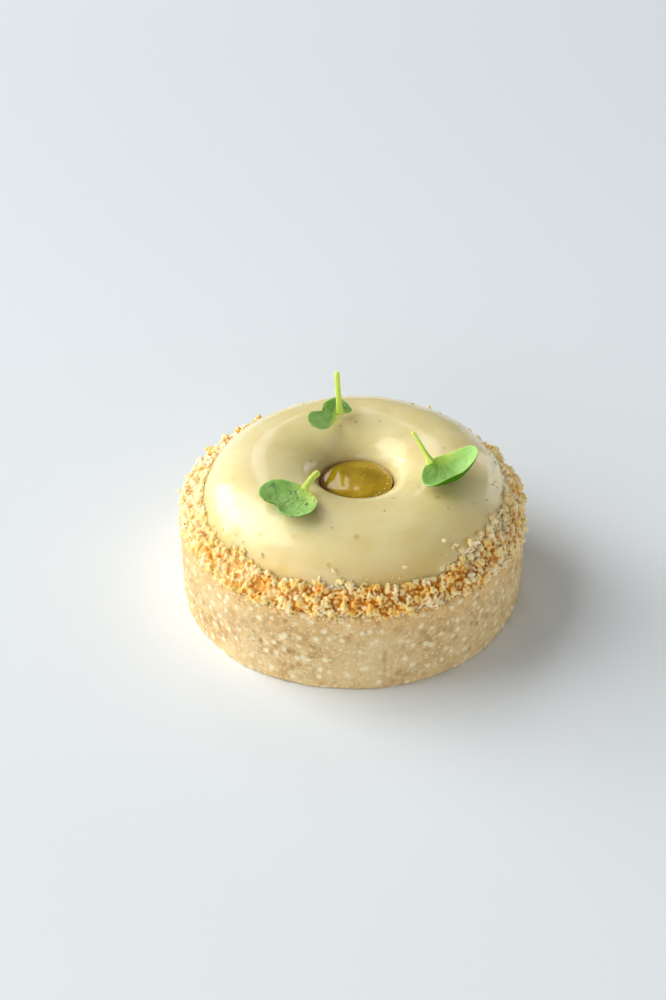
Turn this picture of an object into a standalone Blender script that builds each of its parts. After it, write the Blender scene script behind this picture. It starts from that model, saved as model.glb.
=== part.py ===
"""Lime mint tart: a round biscuit shell, a glazed mousse ring on it with lime gel in its middle,
a band of crumble round the ring's foot, and three cress sprigs lying on top.

Metres, +Z up. The origin is the middle of the flat base, and the front of the tart faces -Y.
"""

import math

import bmesh
import bpy
import numpy as np
from mathutils import Vector

MM = 0.001
GAP = 0.3 * MM

# Biscuit shell, a low drum that flares a little towards its rim
CRUST_RIM_RADIUS = 40.0 * MM
CRUST_FOOT_RADIUS = 39.3 * MM
CRUST_HEIGHT = 20.8 * MM
CRUST_RIM_ROUND = 1.2 * MM
CRUST_FOOT_ROUND = 0.6 * MM
CRUST_WALL_ROWS = 7
CRUST_STEPS = 76
CRUST_WAVE = 0.22 * MM
CRUST_PITTING = 0.16 * MM

# Mousse ring, which sits a millimetre off the shell's centre
MOUSSE_CENTRE_X = 1.0 * MM
MOUSSE_BASE = CRUST_HEIGHT + GAP
MOUSSE_FOOT_RADIUS = 36.3 * MM
MOUSSE_CROWN_RADIUS = 21.5 * MM
MOUSSE_CROWN = 35.2 * MM
MOUSSE_HOLE_RADIUS = 8.2 * MM
MOUSSE_HOLE_WALL_TOP = 26.0 * MM
MOUSSE_OUTER_FULLNESS = 2.0
MOUSSE_INNER_FULLNESS = 2.4
MOUSSE_STEPS = 60
MOUSSE_SETTLING = 0.15 * MM
MOUSSE_SETTLES_FROM = 28.0 * MM
MOUSSE_SETTLES_TO = 33.0 * MM

# Lime gel, which fills the middle almost to the lip and stands slightly proud
GEL_EDGE = 29.0 * MM
GEL_CROWN = 29.9 * MM
GEL_STEPS = 32

# Crumble, a low bank on the shell's rim against the mousse, with loose clumps fused to it
BANK_REACH = 39.0 * MM
BANK_STEPS = 144
BANK_PROFILE = [(0.0, 0.0), (1.0, 0.0), (0.96, 1.0 * MM), (0.62, 2.5 * MM), (0.24, 3.7 * MM),
                (0.0, 4.2 * MM)]
BANK_LUMPS = 0.7 * MM
CLUMP_COUNT = 50
CLUMP_RADIUS = (1.05 * MM, 1.5 * MM)
CRUMB_COUNT = 66
CRUMB_RADIUS = (0.6 * MM, 0.95 * MM)
CRUMB_SWELL = 1.2
CRUMB_STANDS_OUT = 0.25
CRUMB_SEED = 41

# Cress sprigs: each leaf is thin, heart shaped and joined to its stem
LEAF_THICKNESS = 0.45 * MM
LEAF_CLEARANCE = 0.75 * MM
LEAF_CELLS = (8, 6)
STEM_SIDES = 8

SPRIGS = {
    "sprig_left": {
        "leaves": [dict(root=(-8.95, -14.8, 36.1), heading=211, climb=-3.6, roll=0, length=11.3, width=14.6,
                        notch=2.0, cup=0.85, fold=0.4, tip_curl=1.6, shoulder=0.15, edge_curl=(1.15, 0.8),
                        skew=-0.11)],
        "stem": dict(foot=(-10.8, -13.6, 36.7), tip=(-7.7, -7.8, 37.1), bow=(-0.05, -0.05, 0.5),
                     radius=(0.95, 0.64, 0.78)),
    },
    "sprig_right": {
        "leaves": [dict(root=(19.5, -2.7, 37.4), heading=-66, climb=7.3, roll=1, length=11.4, width=14.3,
                        notch=-0.5, cup=1.7, fold=-0.2, tip_curl=1.6, shoulder=0.1, edge_curl=(-2.55, 1.8),
                        skew=-0.2, belly=2.3)],
        "stem": dict(foot=(17.9, -4.9, 37.4), tip=(13.4, -1.4, 44.0), bow=(-0.1, 0.25, 0.3),
                     radius=(1.35, 0.6, 0.36)),
    },
    "sprig_back": {
        "leaves": [dict(root=(-3.3, 15.1, 36.05), heading=181, climb=34, roll=1, length=6.1, width=14.1,
                        notch=2.1, cup=0.1, fold=0.2, tip_curl=0.3, shoulder=-0.8, edge_curl=(1.0, -1.2),
                        skew=0.8, belly=0.5),
                   dict(root=(-2.2, 17.3, 36.9), heading=69, climb=14, roll=40, length=2.65, width=4.1,
                        notch=-0.15, cup=0.55, fold=0.25, tip_curl=-0.4, shoulder=0.6,
                        edge_curl=(-0.55, 0.7), skew=0.0)],
        "stem": dict(foot=(-2.8, 17.1, 35.9), tip=(-3.5, 17.8, 47.4), bow=(0.0, 0.0, 0.0),
                     radius=(1.1, 0.68, 0.62)),
    },
}

# Finishes: colour (linear), roughness, metallic
FINISHES = {
    "biscuit": ((0.62, 0.45, 0.24), 0.85, 0.0),
    "mousse_glaze": ((0.74, 0.64, 0.33), 0.18, 0.0),
    "lime_gel": ((0.36, 0.24, 0.03), 0.08, 0.0),
    "crumble": ((0.70, 0.42, 0.16), 0.80, 0.0),
    "cress": ((0.20, 0.42, 0.06), 0.45, 0.0),
}


def clear_scene():
    """Remove everything that the scene starts with."""
    for obj in list(bpy.data.objects):
        bpy.data.objects.remove(obj, do_unlink=True)


def make_collection(name):
    collection = bpy.data.collections.new(name)
    bpy.context.scene.collection.children.link(collection)
    return collection


def finish_material(name):
    """One Principled BSDF material with the piece's colour, roughness and metallic value."""
    if name in bpy.data.materials:
        return bpy.data.materials[name]
    colour, roughness, metallic = FINISHES[name]
    material = bpy.data.materials.new(name)
    material.use_nodes = True
    shader = material.node_tree.nodes["Principled BSDF"]
    shader.inputs["Base Color"].default_value = (*colour, 1.0)
    shader.inputs["Roughness"].default_value = roughness
    shader.inputs["Metallic"].default_value = metallic
    return material


def dress(obj, finish, sharp_angle=50):
    """Give an object its material and smooth shading with crisp edges kept."""
    obj.data.materials.clear()
    obj.data.materials.append(finish_material(finish))
    obj.data.shade_smooth()
    obj.data.set_sharp_from_angle(angle=math.radians(sharp_angle))


def applied(obj):
    """The object's mesh with its modifiers applied, in place of the live ones."""
    depsgraph = bpy.context.evaluated_depsgraph_get()
    mesh = bpy.data.meshes.new_from_object(obj.evaluated_get(depsgraph))
    obj.modifiers.clear()
    obj.data = mesh
    return obj


def turned(name, profile, steps, collection, closed=False):
    """A profile of (radius, height) pairs, outer side top to bottom, spun about the Z axis."""
    count = len(profile)
    edges = [(i, (i + 1) % count) for i in range(count if closed else count - 1)]
    mesh = bpy.data.meshes.new(name)
    mesh.from_pydata([(radius, 0.0, height) for radius, height in profile], edges, [])
    obj = bpy.data.objects.new(name, mesh)
    collection.objects.link(obj)
    screw = obj.modifiers.new("Turn", "SCREW")
    screw.steps = steps
    screw.render_steps = steps
    screw.use_merge_vertices = True
    screw.merge_threshold = 0.00001
    return applied(obj)


def coordinates(mesh):
    points = np.empty(len(mesh.vertices) * 3)
    mesh.vertices.foreach_get("co", points)
    return points.reshape(-1, 3)


def set_coordinates(mesh, points):
    mesh.vertices.foreach_set("co", np.asarray(points).ravel())
    mesh.update()


def ease(value, low, high):
    """0 below low, 1 above high, and a smooth step between."""
    t = np.clip((value - low) / (high - low), 0.0, 1.0)
    return t * t * (3.0 - 2.0 * t)


# Mousse form, shared by every piece that rests against it
def mousse_outer_radius(height):
    """Radius of the ring's outside at a height: a quarter superellipse from foot to crown."""
    rise = np.clip((height - MOUSSE_BASE) / (MOUSSE_CROWN - MOUSSE_BASE), 0.0, 1.0)
    run = (1.0 - rise ** MOUSSE_OUTER_FULLNESS) ** (1.0 / MOUSSE_OUTER_FULLNESS)
    return MOUSSE_CROWN_RADIUS + (MOUSSE_FOOT_RADIUS - MOUSSE_CROWN_RADIUS) * run


def mousse_inner_radius(height):
    """Radius of the hole at a height: a straight wall, then a fuller quarter superellipse."""
    rise = np.clip((height - MOUSSE_HOLE_WALL_TOP) / (MOUSSE_CROWN - MOUSSE_HOLE_WALL_TOP), 0.0, 1.0)
    run = (1.0 - rise ** MOUSSE_INNER_FULLNESS) ** (1.0 / MOUSSE_INNER_FULLNESS)
    return MOUSSE_CROWN_RADIUS - (MOUSSE_CROWN_RADIUS - MOUSSE_HOLE_RADIUS) * run


def mousse_height(x, y):
    """Height of the ring's upper surface over a point of the plan."""
    radius = np.hypot(x - MOUSSE_CENTRE_X, y)
    out = np.clip((radius - MOUSSE_CROWN_RADIUS) / (MOUSSE_FOOT_RADIUS - MOUSSE_CROWN_RADIUS), 0.0, 1.0)
    inward = np.clip((MOUSSE_CROWN_RADIUS - radius) / (MOUSSE_CROWN_RADIUS - MOUSSE_HOLE_RADIUS), 0.0, 1.0)
    outer = (1.0 - out ** MOUSSE_OUTER_FULLNESS) ** (1.0 / MOUSSE_OUTER_FULLNESS)
    inner = (1.0 - inward ** MOUSSE_INNER_FULLNESS) ** (1.0 / MOUSSE_INNER_FULLNESS)
    high_side = MOUSSE_BASE + (MOUSSE_CROWN - MOUSSE_BASE) * outer
    hole_side = MOUSSE_HOLE_WALL_TOP + (MOUSSE_CROWN - MOUSSE_HOLE_WALL_TOP) * inner
    return np.where(radius > MOUSSE_CROWN_RADIUS, high_side, hole_side)


def settling(x, y):
    """How far the soft ring has slumped at a point of the plan: two slow waves round it."""
    angle = np.arctan2(y, x - MOUSSE_CENTRE_X)
    return MOUSSE_SETTLING * (0.6 * np.sin(2.0 * angle + 0.7) + 0.4 * np.sin(3.0 * angle + 2.1))


def make_crust(collection):
    """A drum with a rounded rim, a flat base and an uneven, pitted wall."""
    wall_top = CRUST_HEIGHT - CRUST_RIM_ROUND
    profile = [(share * CRUST_RIM_RADIUS, CRUST_HEIGHT) for share in (0.0, 0.45, 0.8)]
    for turn in np.linspace(0.0, math.pi / 2.0, 4):
        profile.append((CRUST_RIM_RADIUS - CRUST_RIM_ROUND * (1.0 - math.sin(turn)),
                        wall_top + CRUST_RIM_ROUND * math.cos(turn)))
    for share in np.linspace(0.0, 1.0, CRUST_WALL_ROWS)[1:]:
        profile.append((CRUST_RIM_RADIUS + (CRUST_FOOT_RADIUS - CRUST_RIM_RADIUS) * share,
                        wall_top + (CRUST_FOOT_ROUND - wall_top) * share))
    profile.append((CRUST_FOOT_RADIUS - CRUST_FOOT_ROUND, 0.0))
    profile.append((0.0, 0.0))
    crust = turned("tart_crust", profile, CRUST_STEPS, collection)

    points = coordinates(crust.data)
    radius = np.hypot(points[:, 0], points[:, 1])
    angle = np.arctan2(points[:, 1], points[:, 0])
    side = ease(radius, 0.9 * CRUST_RIM_RADIUS, 0.97 * CRUST_RIM_RADIUS)
    side = side * (points[:, 2] > 0.1 * MM)
    wave = CRUST_WAVE * (np.sin(5.0 * angle + 0.4) + 0.6 * np.sin(9.0 * angle + 1.9)) / 1.6
    pits = np.random.default_rng(7).uniform(-1.0, 0.6, len(points)) * CRUST_PITTING
    factor = 1.0 + side * (wave + pits) / np.maximum(radius, 1.0 * MM)
    points[:, 0] *= factor
    points[:, 1] *= factor
    set_coordinates(crust.data, points)
    dress(crust, "biscuit", 60)
    return crust


def make_mousse(collection):
    """The moulded ring: crown, outer side, flat foot, straight hole wall and inner side."""
    quarter = np.linspace(0.0, math.pi / 2.0, 11)
    profile = []
    for turn in quarter:
        rise = math.cos(turn) ** (2.0 / MOUSSE_OUTER_FULLNESS)
        run = math.sin(turn) ** (2.0 / MOUSSE_OUTER_FULLNESS)
        profile.append((MOUSSE_CROWN_RADIUS + (MOUSSE_FOOT_RADIUS - MOUSSE_CROWN_RADIUS) * run,
                        MOUSSE_BASE + (MOUSSE_CROWN - MOUSSE_BASE) * rise))
    profile.append((MOUSSE_HOLE_RADIUS, MOUSSE_BASE))
    for turn in quarter[:0:-1]:
        rise = math.cos(turn) ** (2.0 / MOUSSE_INNER_FULLNESS)
        run = math.sin(turn) ** (2.0 / MOUSSE_INNER_FULLNESS)
        profile.append((MOUSSE_CROWN_RADIUS - (MOUSSE_CROWN_RADIUS - MOUSSE_HOLE_RADIUS) * run,
                        MOUSSE_HOLE_WALL_TOP + (MOUSSE_CROWN - MOUSSE_HOLE_WALL_TOP) * rise))
    ring = turned("mousse_ring", profile, MOUSSE_STEPS, collection, closed=True)

    points = coordinates(ring.data)
    points[:, 0] += MOUSSE_CENTRE_X
    soft = ease(points[:, 2], MOUSSE_SETTLES_FROM, MOUSSE_SETTLES_TO)
    points[:, 2] += soft * settling(points[:, 0], points[:, 1])
    set_coordinates(ring.data, points)
    dress(ring, "mousse_glaze")
    return ring


def make_gel(collection):
    """The gel plug: a slightly domed top, and a side that follows the hole's wall."""
    profile = []
    edge_radius = float(mousse_inner_radius(GEL_EDGE)) - GAP
    for turn in np.linspace(0.0, math.pi / 2.0, 6):
        profile.append((edge_radius * math.sin(turn),
                        GEL_EDGE + (GEL_CROWN - GEL_EDGE) * math.cos(turn)))
    for height in (GEL_EDGE - 1.0 * MM, GEL_EDGE - 2.0 * MM, MOUSSE_HOLE_WALL_TOP, MOUSSE_BASE):
        profile.append((float(mousse_inner_radius(height)) - GAP, height))
    profile.append((0.0, MOUSSE_BASE))
    gel = turned("lime_gel", profile, GEL_STEPS, collection)
    points = coordinates(gel.data)
    points[:, 0] += MOUSSE_CENTRE_X
    set_coordinates(gel.data, points)
    dress(gel, "lime_gel")
    return gel


def bank_reach(angle):
    """Distance from the mousse's axis to the bank's outer edge, a circle about the shell's axis."""
    along = -MOUSSE_CENTRE_X * np.cos(angle)
    return along + np.sqrt(along ** 2 - MOUSSE_CENTRE_X ** 2 + BANK_REACH ** 2)


def bank_point(share, lift, angle):
    """A point of the bank's section: share 0 is at the mousse and 1 at the shell's rim."""
    height = MOUSSE_BASE + lift
    inner = mousse_outer_radius(height) + GAP
    radius = inner + share * (bank_reach(angle) - inner)
    return np.array([MOUSSE_CENTRE_X + radius * np.cos(angle), radius * np.sin(angle), height + 0.0 * angle])


def make_bank(collection):
    """The crumble's core: a lumpy wedge section carried round the mousse's foot."""
    count = len(BANK_PROFILE)
    rng = np.random.default_rng(CRUMB_SEED + 1)
    bm = bmesh.new()
    rings = []
    for step in range(BANK_STEPS):
        angle = 2.0 * math.pi * step / BANK_STEPS
        ring = []
        for share, lift in BANK_PROFILE:
            showing = lift > 0.0 and share > 0.0
            lump = BANK_LUMPS * rng.uniform(-0.6, 1.0) if showing else 0.0
            ring.append(bm.verts.new(bank_point(share, lift + lump, angle)))
        rings.append(ring)
    for step in range(BANK_STEPS):
        here = rings[step]
        after = rings[(step + 1) % BANK_STEPS]
        for i in range(count):
            j = (i + 1) % count
            bm.faces.new((here[i], after[i], after[j], here[j]))
    bmesh.ops.recalc_face_normals(bm, faces=bm.faces)
    mesh = bpy.data.meshes.new("crumble_ring")
    bm.to_mesh(mesh)
    bm.free()
    bank = bpy.data.objects.new("crumble_ring", mesh)
    collection.objects.link(bank)
    return bank


def clearance_to_mousse(radius, height):
    """Shortest distance in section from a point beside the mousse to its outer side."""
    heights = np.linspace(MOUSSE_BASE, MOUSSE_CROWN, 60)
    return float(np.min(np.hypot(mousse_outer_radius(heights) - radius, heights - height)))


def crumb_places():
    """Seeded places and sizes of the clumps and crumbs that show on the bank."""
    rng = np.random.default_rng(CRUMB_SEED)
    slope = BANK_PROFILE[1:]
    places = []
    for count, (small, large) in ((CLUMP_COUNT, CLUMP_RADIUS), (CRUMB_COUNT, CRUMB_RADIUS)):
        for i in range(count):
            angle = 2.0 * math.pi * (i + rng.uniform(-0.45, 0.45)) / count
            size = rng.uniform(small, large)
            spot = rng.uniform(0.1, 0.92) * (len(slope) - 1)
            first = int(spot)
            blend = spot - first
            share = slope[first][0] * (1.0 - blend) + slope[first + 1][0] * blend
            lift = slope[first][1] * (1.0 - blend) + slope[first + 1][1] * blend
            centre = bank_point(share, lift + CRUMB_STANDS_OUT * size, angle)
            centre[2] = max(centre[2], MOUSSE_BASE + CRUMB_SWELL * size + 0.05 * MM)
            radius = math.hypot(centre[0] - MOUSSE_CENTRE_X, centre[1])
            short = CRUMB_SWELL * size + GAP - clearance_to_mousse(radius, centre[2])
            if short > 0.0:
                radius += 1.15 * short
                centre[0] = MOUSSE_CENTRE_X + radius * math.cos(angle)
                centre[1] = radius * math.sin(angle)
            sinks_in = centre[2] - 0.75 * size < MOUSSE_BASE + lift
            if sinks_in and clearance_to_mousse(radius, centre[2]) >= 1.15 * size + GAP:
                places.append((centre, size, rng.integers(1 << 30)))
    return places


def make_crumb(name, centre, size, seed, collection):
    """One crumb: an icosphere of twenty faces with each corner pulled in or out by its own share."""
    bm = bmesh.new()
    bmesh.ops.create_icosphere(bm, subdivisions=1, radius=size)
    mesh = bpy.data.meshes.new(name)
    bm.to_mesh(mesh)
    bm.free()
    rng = np.random.default_rng(seed)
    points = coordinates(mesh)
    turn, _ = np.linalg.qr(rng.normal(size=(3, 3)))
    turn = turn * np.sign(np.linalg.det(turn))
    points = points @ turn.T
    points = points * rng.uniform(0.78, 1.08, (len(points), 1))
    set_coordinates(mesh, points + centre)
    crumb = bpy.data.objects.new(name, mesh)
    collection.objects.link(crumb)
    return crumb


def fuse(base, collection, solver="EXACT"):
    """Union the base with every object of a collection, then remove the collection's objects."""
    union = base.modifiers.new("Fuse", "BOOLEAN")
    union.operation = "UNION"
    union.operand_type = "COLLECTION"
    union.collection = collection
    union.solver = solver
    applied(base)
    for obj in list(collection.objects):
        bpy.data.objects.remove(obj, do_unlink=True)
    bpy.data.collections.remove(collection)
    return base


def islands(bm):
    """Lists of the faces that hang together by their edges, largest first."""
    waiting = set(bm.faces)
    found = []
    while waiting:
        front = [waiting.pop()]
        island = []
        while front:
            face = front.pop()
            island.append(face)
            for edge in face.edges:
                for other in edge.link_faces:
                    if other in waiting:
                        waiting.remove(other)
                        front.append(other)
        found.append(island)
    return sorted(found, key=len, reverse=True)


def part_shared_diagonals(bm):
    """Where two flat faces were split along one line, give the first a point of its own there."""
    bm.normal_update()
    for edge in [edge for edge in bm.edges if len(edge.link_faces) == 4]:
        ends = set(edge.verts)
        first, *others = edge.link_faces
        mate = max(others, key=lambda face: face.normal.dot(first.normal))
        middle = bm.verts.new((edge.verts[0].co + edge.verts[1].co) / 2.0)
        for face in (first, mate):
            corners = list(face.verts)
            while corners[2] in ends:
                corners = corners[1:] + corners[:1]
            bm.faces.remove(face)
            bm.faces.new((corners[0], middle, corners[2]))
            bm.faces.new((middle, corners[1], corners[2]))


def tidy_solid(obj, merge=0.002 * MM):
    """Weld points that a union left on top of each other, and keep the one large body.

    The smaller islands are crumbs that touch nothing and sealed hollows, which this fills.
    """
    bm = bmesh.new()
    bm.from_mesh(obj.data)
    bmesh.ops.remove_doubles(bm, verts=bm.verts, dist=merge)
    bmesh.ops.dissolve_degenerate(bm, edges=bm.edges, dist=merge)
    for island in islands(bm)[1:]:
        bmesh.ops.delete(bm, geom=island, context="FACES")
    bmesh.ops.triangulate(bm, faces=bm.faces)
    part_shared_diagonals(bm)
    bm.to_mesh(obj.data)
    bm.free()
    obj.data.update()


def make_crumble(collection):
    """The bank with its clumps and crumbs fused into one body."""
    bank = make_bank(collection)
    crumbs = make_collection("crumbs")
    for number, (centre, size, seed) in enumerate(crumb_places()):
        make_crumb("crumb_%03d" % number, centre, size, seed, crumbs)
    fuse(bank, crumbs)
    tidy_solid(bank)
    dress(bank, "crumble", 30)
    return bank


def leaf_point(p, q, leaf):
    """Local form of a heart leaf over the unit disc: p runs from stem to notch, q from side to side.

    Along the midrib the disc is stretched to the leaf's length, and the notch pulls the middle of
    the far edge back. Upwards, the cup, fold, belly and curls are squares of p and q.
    """
    along = leaf["length"] * (0.5 + 0.5 * p)
    along = along - leaf["notch"] * np.clip(p, 0.0, None) ** 2 * np.exp(-((q / 0.28) ** 2))
    along = along - leaf["shoulder"] * np.clip(-p, 0.0, None) ** 2 * (1.0 - np.exp(-((q / 0.3) ** 2)))
    along = along * (1.0 + leaf["skew"] * q)
    across = 0.5 * leaf["width"] * q * (1.0 + 0.12 * p)
    right_curl, left_curl = leaf["edge_curl"]
    up = leaf["cup"] * (q ** 2 + 0.35 * p ** 2) + leaf["fold"] * (np.sqrt(q ** 2 + 0.02) - 0.14)
    up = up + leaf["tip_curl"] * np.clip(p, 0.0, None) ** 2
    up = up - leaf.get("belly", 0.0) * (1.0 - p ** 2 - q ** 2)
    up = up + left_curl * np.clip(q, 0.0, None) ** 2 + right_curl * np.clip(-q, 0.0, None) ** 2
    return along, across, up


def leaf_place(along, across, up, leaf):
    """Carry leaf coordinates (mm) to the tart: root, heading, climb and roll, kept off the mousse."""
    heading, climb, roll = (math.radians(leaf[key]) for key in ("heading", "climb", "roll"))
    ahead = Vector((math.cos(heading), math.sin(heading), 0.0))
    forward = ahead * math.cos(climb) + Vector((0.0, 0.0, math.sin(climb)))
    level = Vector((-math.sin(heading), math.cos(heading), 0.0))
    side = level * math.cos(roll) + forward.cross(level) * math.sin(roll)
    normal = forward.cross(side)
    axes = np.array([forward, side, normal])
    points = (np.array(leaf["root"]) + np.stack([along, across, up], axis=-1) @ axes) * MM
    floor = mousse_height(points[:, 0], points[:, 1]) + LEAF_CLEARANCE
    points[:, 2] = np.maximum(points[:, 2], floor)
    return points


def make_leaf(name, leaf, collection):
    """A thin wavy leaf: a grid squeezed to a disc, shaped, split into triangles and thickened."""
    bm = bmesh.new()
    bmesh.ops.create_grid(bm, x_segments=LEAF_CELLS[0], y_segments=LEAF_CELLS[1], size=1.0)
    bmesh.ops.triangulate(bm, faces=bm.faces)
    mesh = bpy.data.meshes.new(name)
    bm.to_mesh(mesh)
    bm.free()
    square = coordinates(mesh)
    p = square[:, 0] * np.sqrt(1.0 - 0.5 * square[:, 1] ** 2)
    q = square[:, 1] * np.sqrt(1.0 - 0.5 * square[:, 0] ** 2)
    set_coordinates(mesh, leaf_place(*leaf_point(p, q, leaf), leaf))
    obj = bpy.data.objects.new(name, mesh)
    collection.objects.link(obj)
    thick = obj.modifiers.new("Thickness", "SOLIDIFY")
    thick.thickness = LEAF_THICKNESS
    thick.offset = 0.0
    return applied(obj)


def make_stem(name, stem, collection):
    """A juicy stem: a bowed line with its own radius at foot, middle and tip, and closed ends."""
    foot, tip, bow = (Vector(stem[key]) * MM for key in ("foot", "tip", "bow"))
    curve = bpy.data.curves.new(name, "CURVE")
    curve.dimensions = "3D"
    curve.bevel_depth = MM
    curve.bevel_resolution = (STEM_SIDES - 4) // 2
    curve.use_fill_caps = True
    shares = (0.0, 0.12, 0.3, 0.55, 0.8, 1.0)
    spline = curve.splines.new("POLY")
    spline.points.add(len(shares) - 1)
    for point, share in zip(spline.points, shares):
        place = foot.lerp(tip, share) + bow * (4.0 * share * (1.0 - share))
        point.co = (*place, 1.0)
        flare = (1.0 - share / 0.3) ** 2 if share < 0.3 else 0.0
        slim = stem["radius"][1] + (stem["radius"][2] - stem["radius"][1]) * share
        point.radius = slim + (stem["radius"][0] - slim) * flare
    tube = bpy.data.objects.new(name, curve)
    collection.objects.link(tube)
    depsgraph = bpy.context.evaluated_depsgraph_get()
    mesh = bpy.data.meshes.new_from_object(tube.evaluated_get(depsgraph))
    bpy.data.objects.remove(tube, do_unlink=True)
    bm = bmesh.new()
    bm.from_mesh(mesh)
    bmesh.ops.remove_doubles(bm, verts=bm.verts, dist=0.001 * MM)
    bmesh.ops.recalc_face_normals(bm, faces=bm.faces)
    bm.to_mesh(mesh)
    bm.free()
    obj = bpy.data.objects.new(name, mesh)
    collection.objects.link(obj)
    return obj


def make_sprig(name, sprig, collection):
    """One sprig: its stem with its leaves fused on as one body."""
    obj = make_stem(name, sprig["stem"], collection)
    leaves = make_collection(name + "_leaves")
    for number, leaf in enumerate(sprig["leaves"]):
        make_leaf("%s_leaf_%d" % (name, number), leaf, leaves)
    fuse(obj, leaves, "MANIFOLD")
    tidy_solid(obj)
    dress(obj, "cress")
    return obj


def main():
    clear_scene()
    tart = make_collection("lime_mint_tart")
    make_crust(tart)
    make_mousse(tart)
    make_gel(tart)
    make_crumble(tart)
    for name, sprig in SPRIGS.items():
        make_sprig(name, sprig, tart)


main()
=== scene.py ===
# %% [markdown]
# A lime mint tart
#
# The tart is a round biscuit shell that carries a glazed mousse ring. The ring's middle holds lime
# gel, a band of baked crumble hides the joint between ring and shell, and three cress sprigs lie on
# top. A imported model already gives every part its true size. It is loaded first and never changed,
# and each cell after it makes one finished surface over one of those parts.

import bpy
import numpy as np
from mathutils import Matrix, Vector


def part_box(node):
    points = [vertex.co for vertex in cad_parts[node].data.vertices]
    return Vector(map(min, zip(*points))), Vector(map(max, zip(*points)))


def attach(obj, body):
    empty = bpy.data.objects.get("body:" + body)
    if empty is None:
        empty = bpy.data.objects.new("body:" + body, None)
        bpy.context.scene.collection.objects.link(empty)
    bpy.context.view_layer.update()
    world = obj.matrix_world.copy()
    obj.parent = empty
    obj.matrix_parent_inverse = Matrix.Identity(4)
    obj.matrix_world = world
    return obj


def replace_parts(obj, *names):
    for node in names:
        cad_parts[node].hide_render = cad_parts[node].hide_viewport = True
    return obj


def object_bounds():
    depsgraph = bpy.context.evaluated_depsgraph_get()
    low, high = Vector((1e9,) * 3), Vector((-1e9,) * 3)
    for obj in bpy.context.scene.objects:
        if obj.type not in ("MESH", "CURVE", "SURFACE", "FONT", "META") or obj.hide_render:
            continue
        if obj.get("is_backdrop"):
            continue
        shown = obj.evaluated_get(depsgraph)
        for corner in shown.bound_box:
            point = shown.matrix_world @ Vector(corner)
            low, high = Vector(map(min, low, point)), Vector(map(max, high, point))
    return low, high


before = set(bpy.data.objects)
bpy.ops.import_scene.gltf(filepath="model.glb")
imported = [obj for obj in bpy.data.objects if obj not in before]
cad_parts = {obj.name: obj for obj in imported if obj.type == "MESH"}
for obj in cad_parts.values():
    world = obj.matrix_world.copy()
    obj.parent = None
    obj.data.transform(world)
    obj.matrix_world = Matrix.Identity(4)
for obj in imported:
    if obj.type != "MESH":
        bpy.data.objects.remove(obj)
cad_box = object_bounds()

# %% [markdown]
# Nearly every shape here is turned about an upright axis and then changed by direction or height. So
# the first helpers give a smooth step, a bell curve, the turn from one direction to another, and the
# points of a turned shape.

# %% Curves and turned points
MM = 0.001


def ease(value, low, high):
    """Nothing below low, one above high, and a smooth S between them."""
    share = np.clip((value - low) / (high - low), 0.0, 1.0)
    return share * share * (3.0 - 2.0 * share)


def bell(value, middle, width):
    """A bell curve: one at the middle, a little over a third at the width, and soon nothing."""
    return np.exp(-(((value - middle) / width) ** 2))


def turn_from(angle, middle):
    """Signed turn from a middle direction to an angle, in radians and at most half a round."""
    return np.angle(np.exp(1j * (angle - middle)))


def turned_by(angle, middle):
    """The same turn in degrees, from a middle direction that is given in degrees."""
    return np.degrees(turn_from(angle, np.radians(middle)))


def facing(angle, middle, width):
    """A bell curve over direction, its middle and width in degrees."""
    return bell(turned_by(angle, middle), 0.0, width)


def turned(angle, radius, height, axis_x=0.0):
    """Points given by direction, radius and height about an upright axis."""
    around = np.broadcast_arrays(axis_x + radius * np.cos(angle), radius * np.sin(angle), height)
    return np.stack(around, axis=-1)


def full_round(steps):
    """Directions once round, without the last one, which would be the first again."""
    return np.linspace(0.0, 2.0 * np.pi, steps, endpoint=False)


def swept(radii, heights, steps):
    """Direction, radius and height of every point of a profile that is carried once round."""
    angle, height = np.meshgrid(full_round(steps), heights)
    return angle, np.broadcast_to(radii[:, None], angle.shape), height


print("ease goes", ease(np.linspace(0.0, 1.0, 5), 0.0, 1.0).round(2))

# %% [markdown]
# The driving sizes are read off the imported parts, so that the dressed tart can't drift away from
# them. The mousse ring has two rounded sides, each a quarter of a stretched circle, and every piece
# that lies on the ring needs its height, so that formula is written once here.

# %% Sizes that the whole tart shares
BODY = "root"

crust_low, crust_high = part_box("tart_crust")
mousse_low, mousse_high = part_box("mousse_ring")
gel_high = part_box("lime_gel")[1]

GAP = 0.3 * MM
CRUST_FLARE = 0.7 * MM
CRUST_HEIGHT = crust_high.z
CRUST_RIM_RADIUS = round((crust_high.x - crust_low.x) / 2.0 / MM) * MM
CRUST_FOOT_RADIUS = CRUST_RIM_RADIUS - CRUST_FLARE
MOUSSE_X = (mousse_low.x + mousse_high.x) / 2.0
MOUSSE_BASE = mousse_low.z
MOUSSE_FOOT_RADIUS = (mousse_high.x - mousse_low.x) / 2.0
MOUSSE_CROWN_RADIUS = 21.5 * MM
MOUSSE_CROWN = MOUSSE_BASE + 14.1 * MM
HOLE_RADIUS = 8.2 * MM
HOLE_WALL_TOP = MOUSSE_BASE + 4.9 * MM
OUTER_FULLNESS = 2.0
INNER_FULLNESS = 2.4


def rounded(share, fullness):
    """The other leg of a rounded corner: the root of one less the share's power. Two is a circle."""
    return (1.0 - share ** fullness) ** (1.0 / fullness)


def outer_radius(height):
    """Radius of the ring's outside: the crown's radius, and the rest rounded off by the rise."""
    rise = np.clip((height - MOUSSE_BASE) / (MOUSSE_CROWN - MOUSSE_BASE), 0.0, 1.0)
    return MOUSSE_CROWN_RADIUS + (MOUSSE_FOOT_RADIUS - MOUSSE_CROWN_RADIUS) * rounded(rise, OUTER_FULLNESS)


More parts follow.
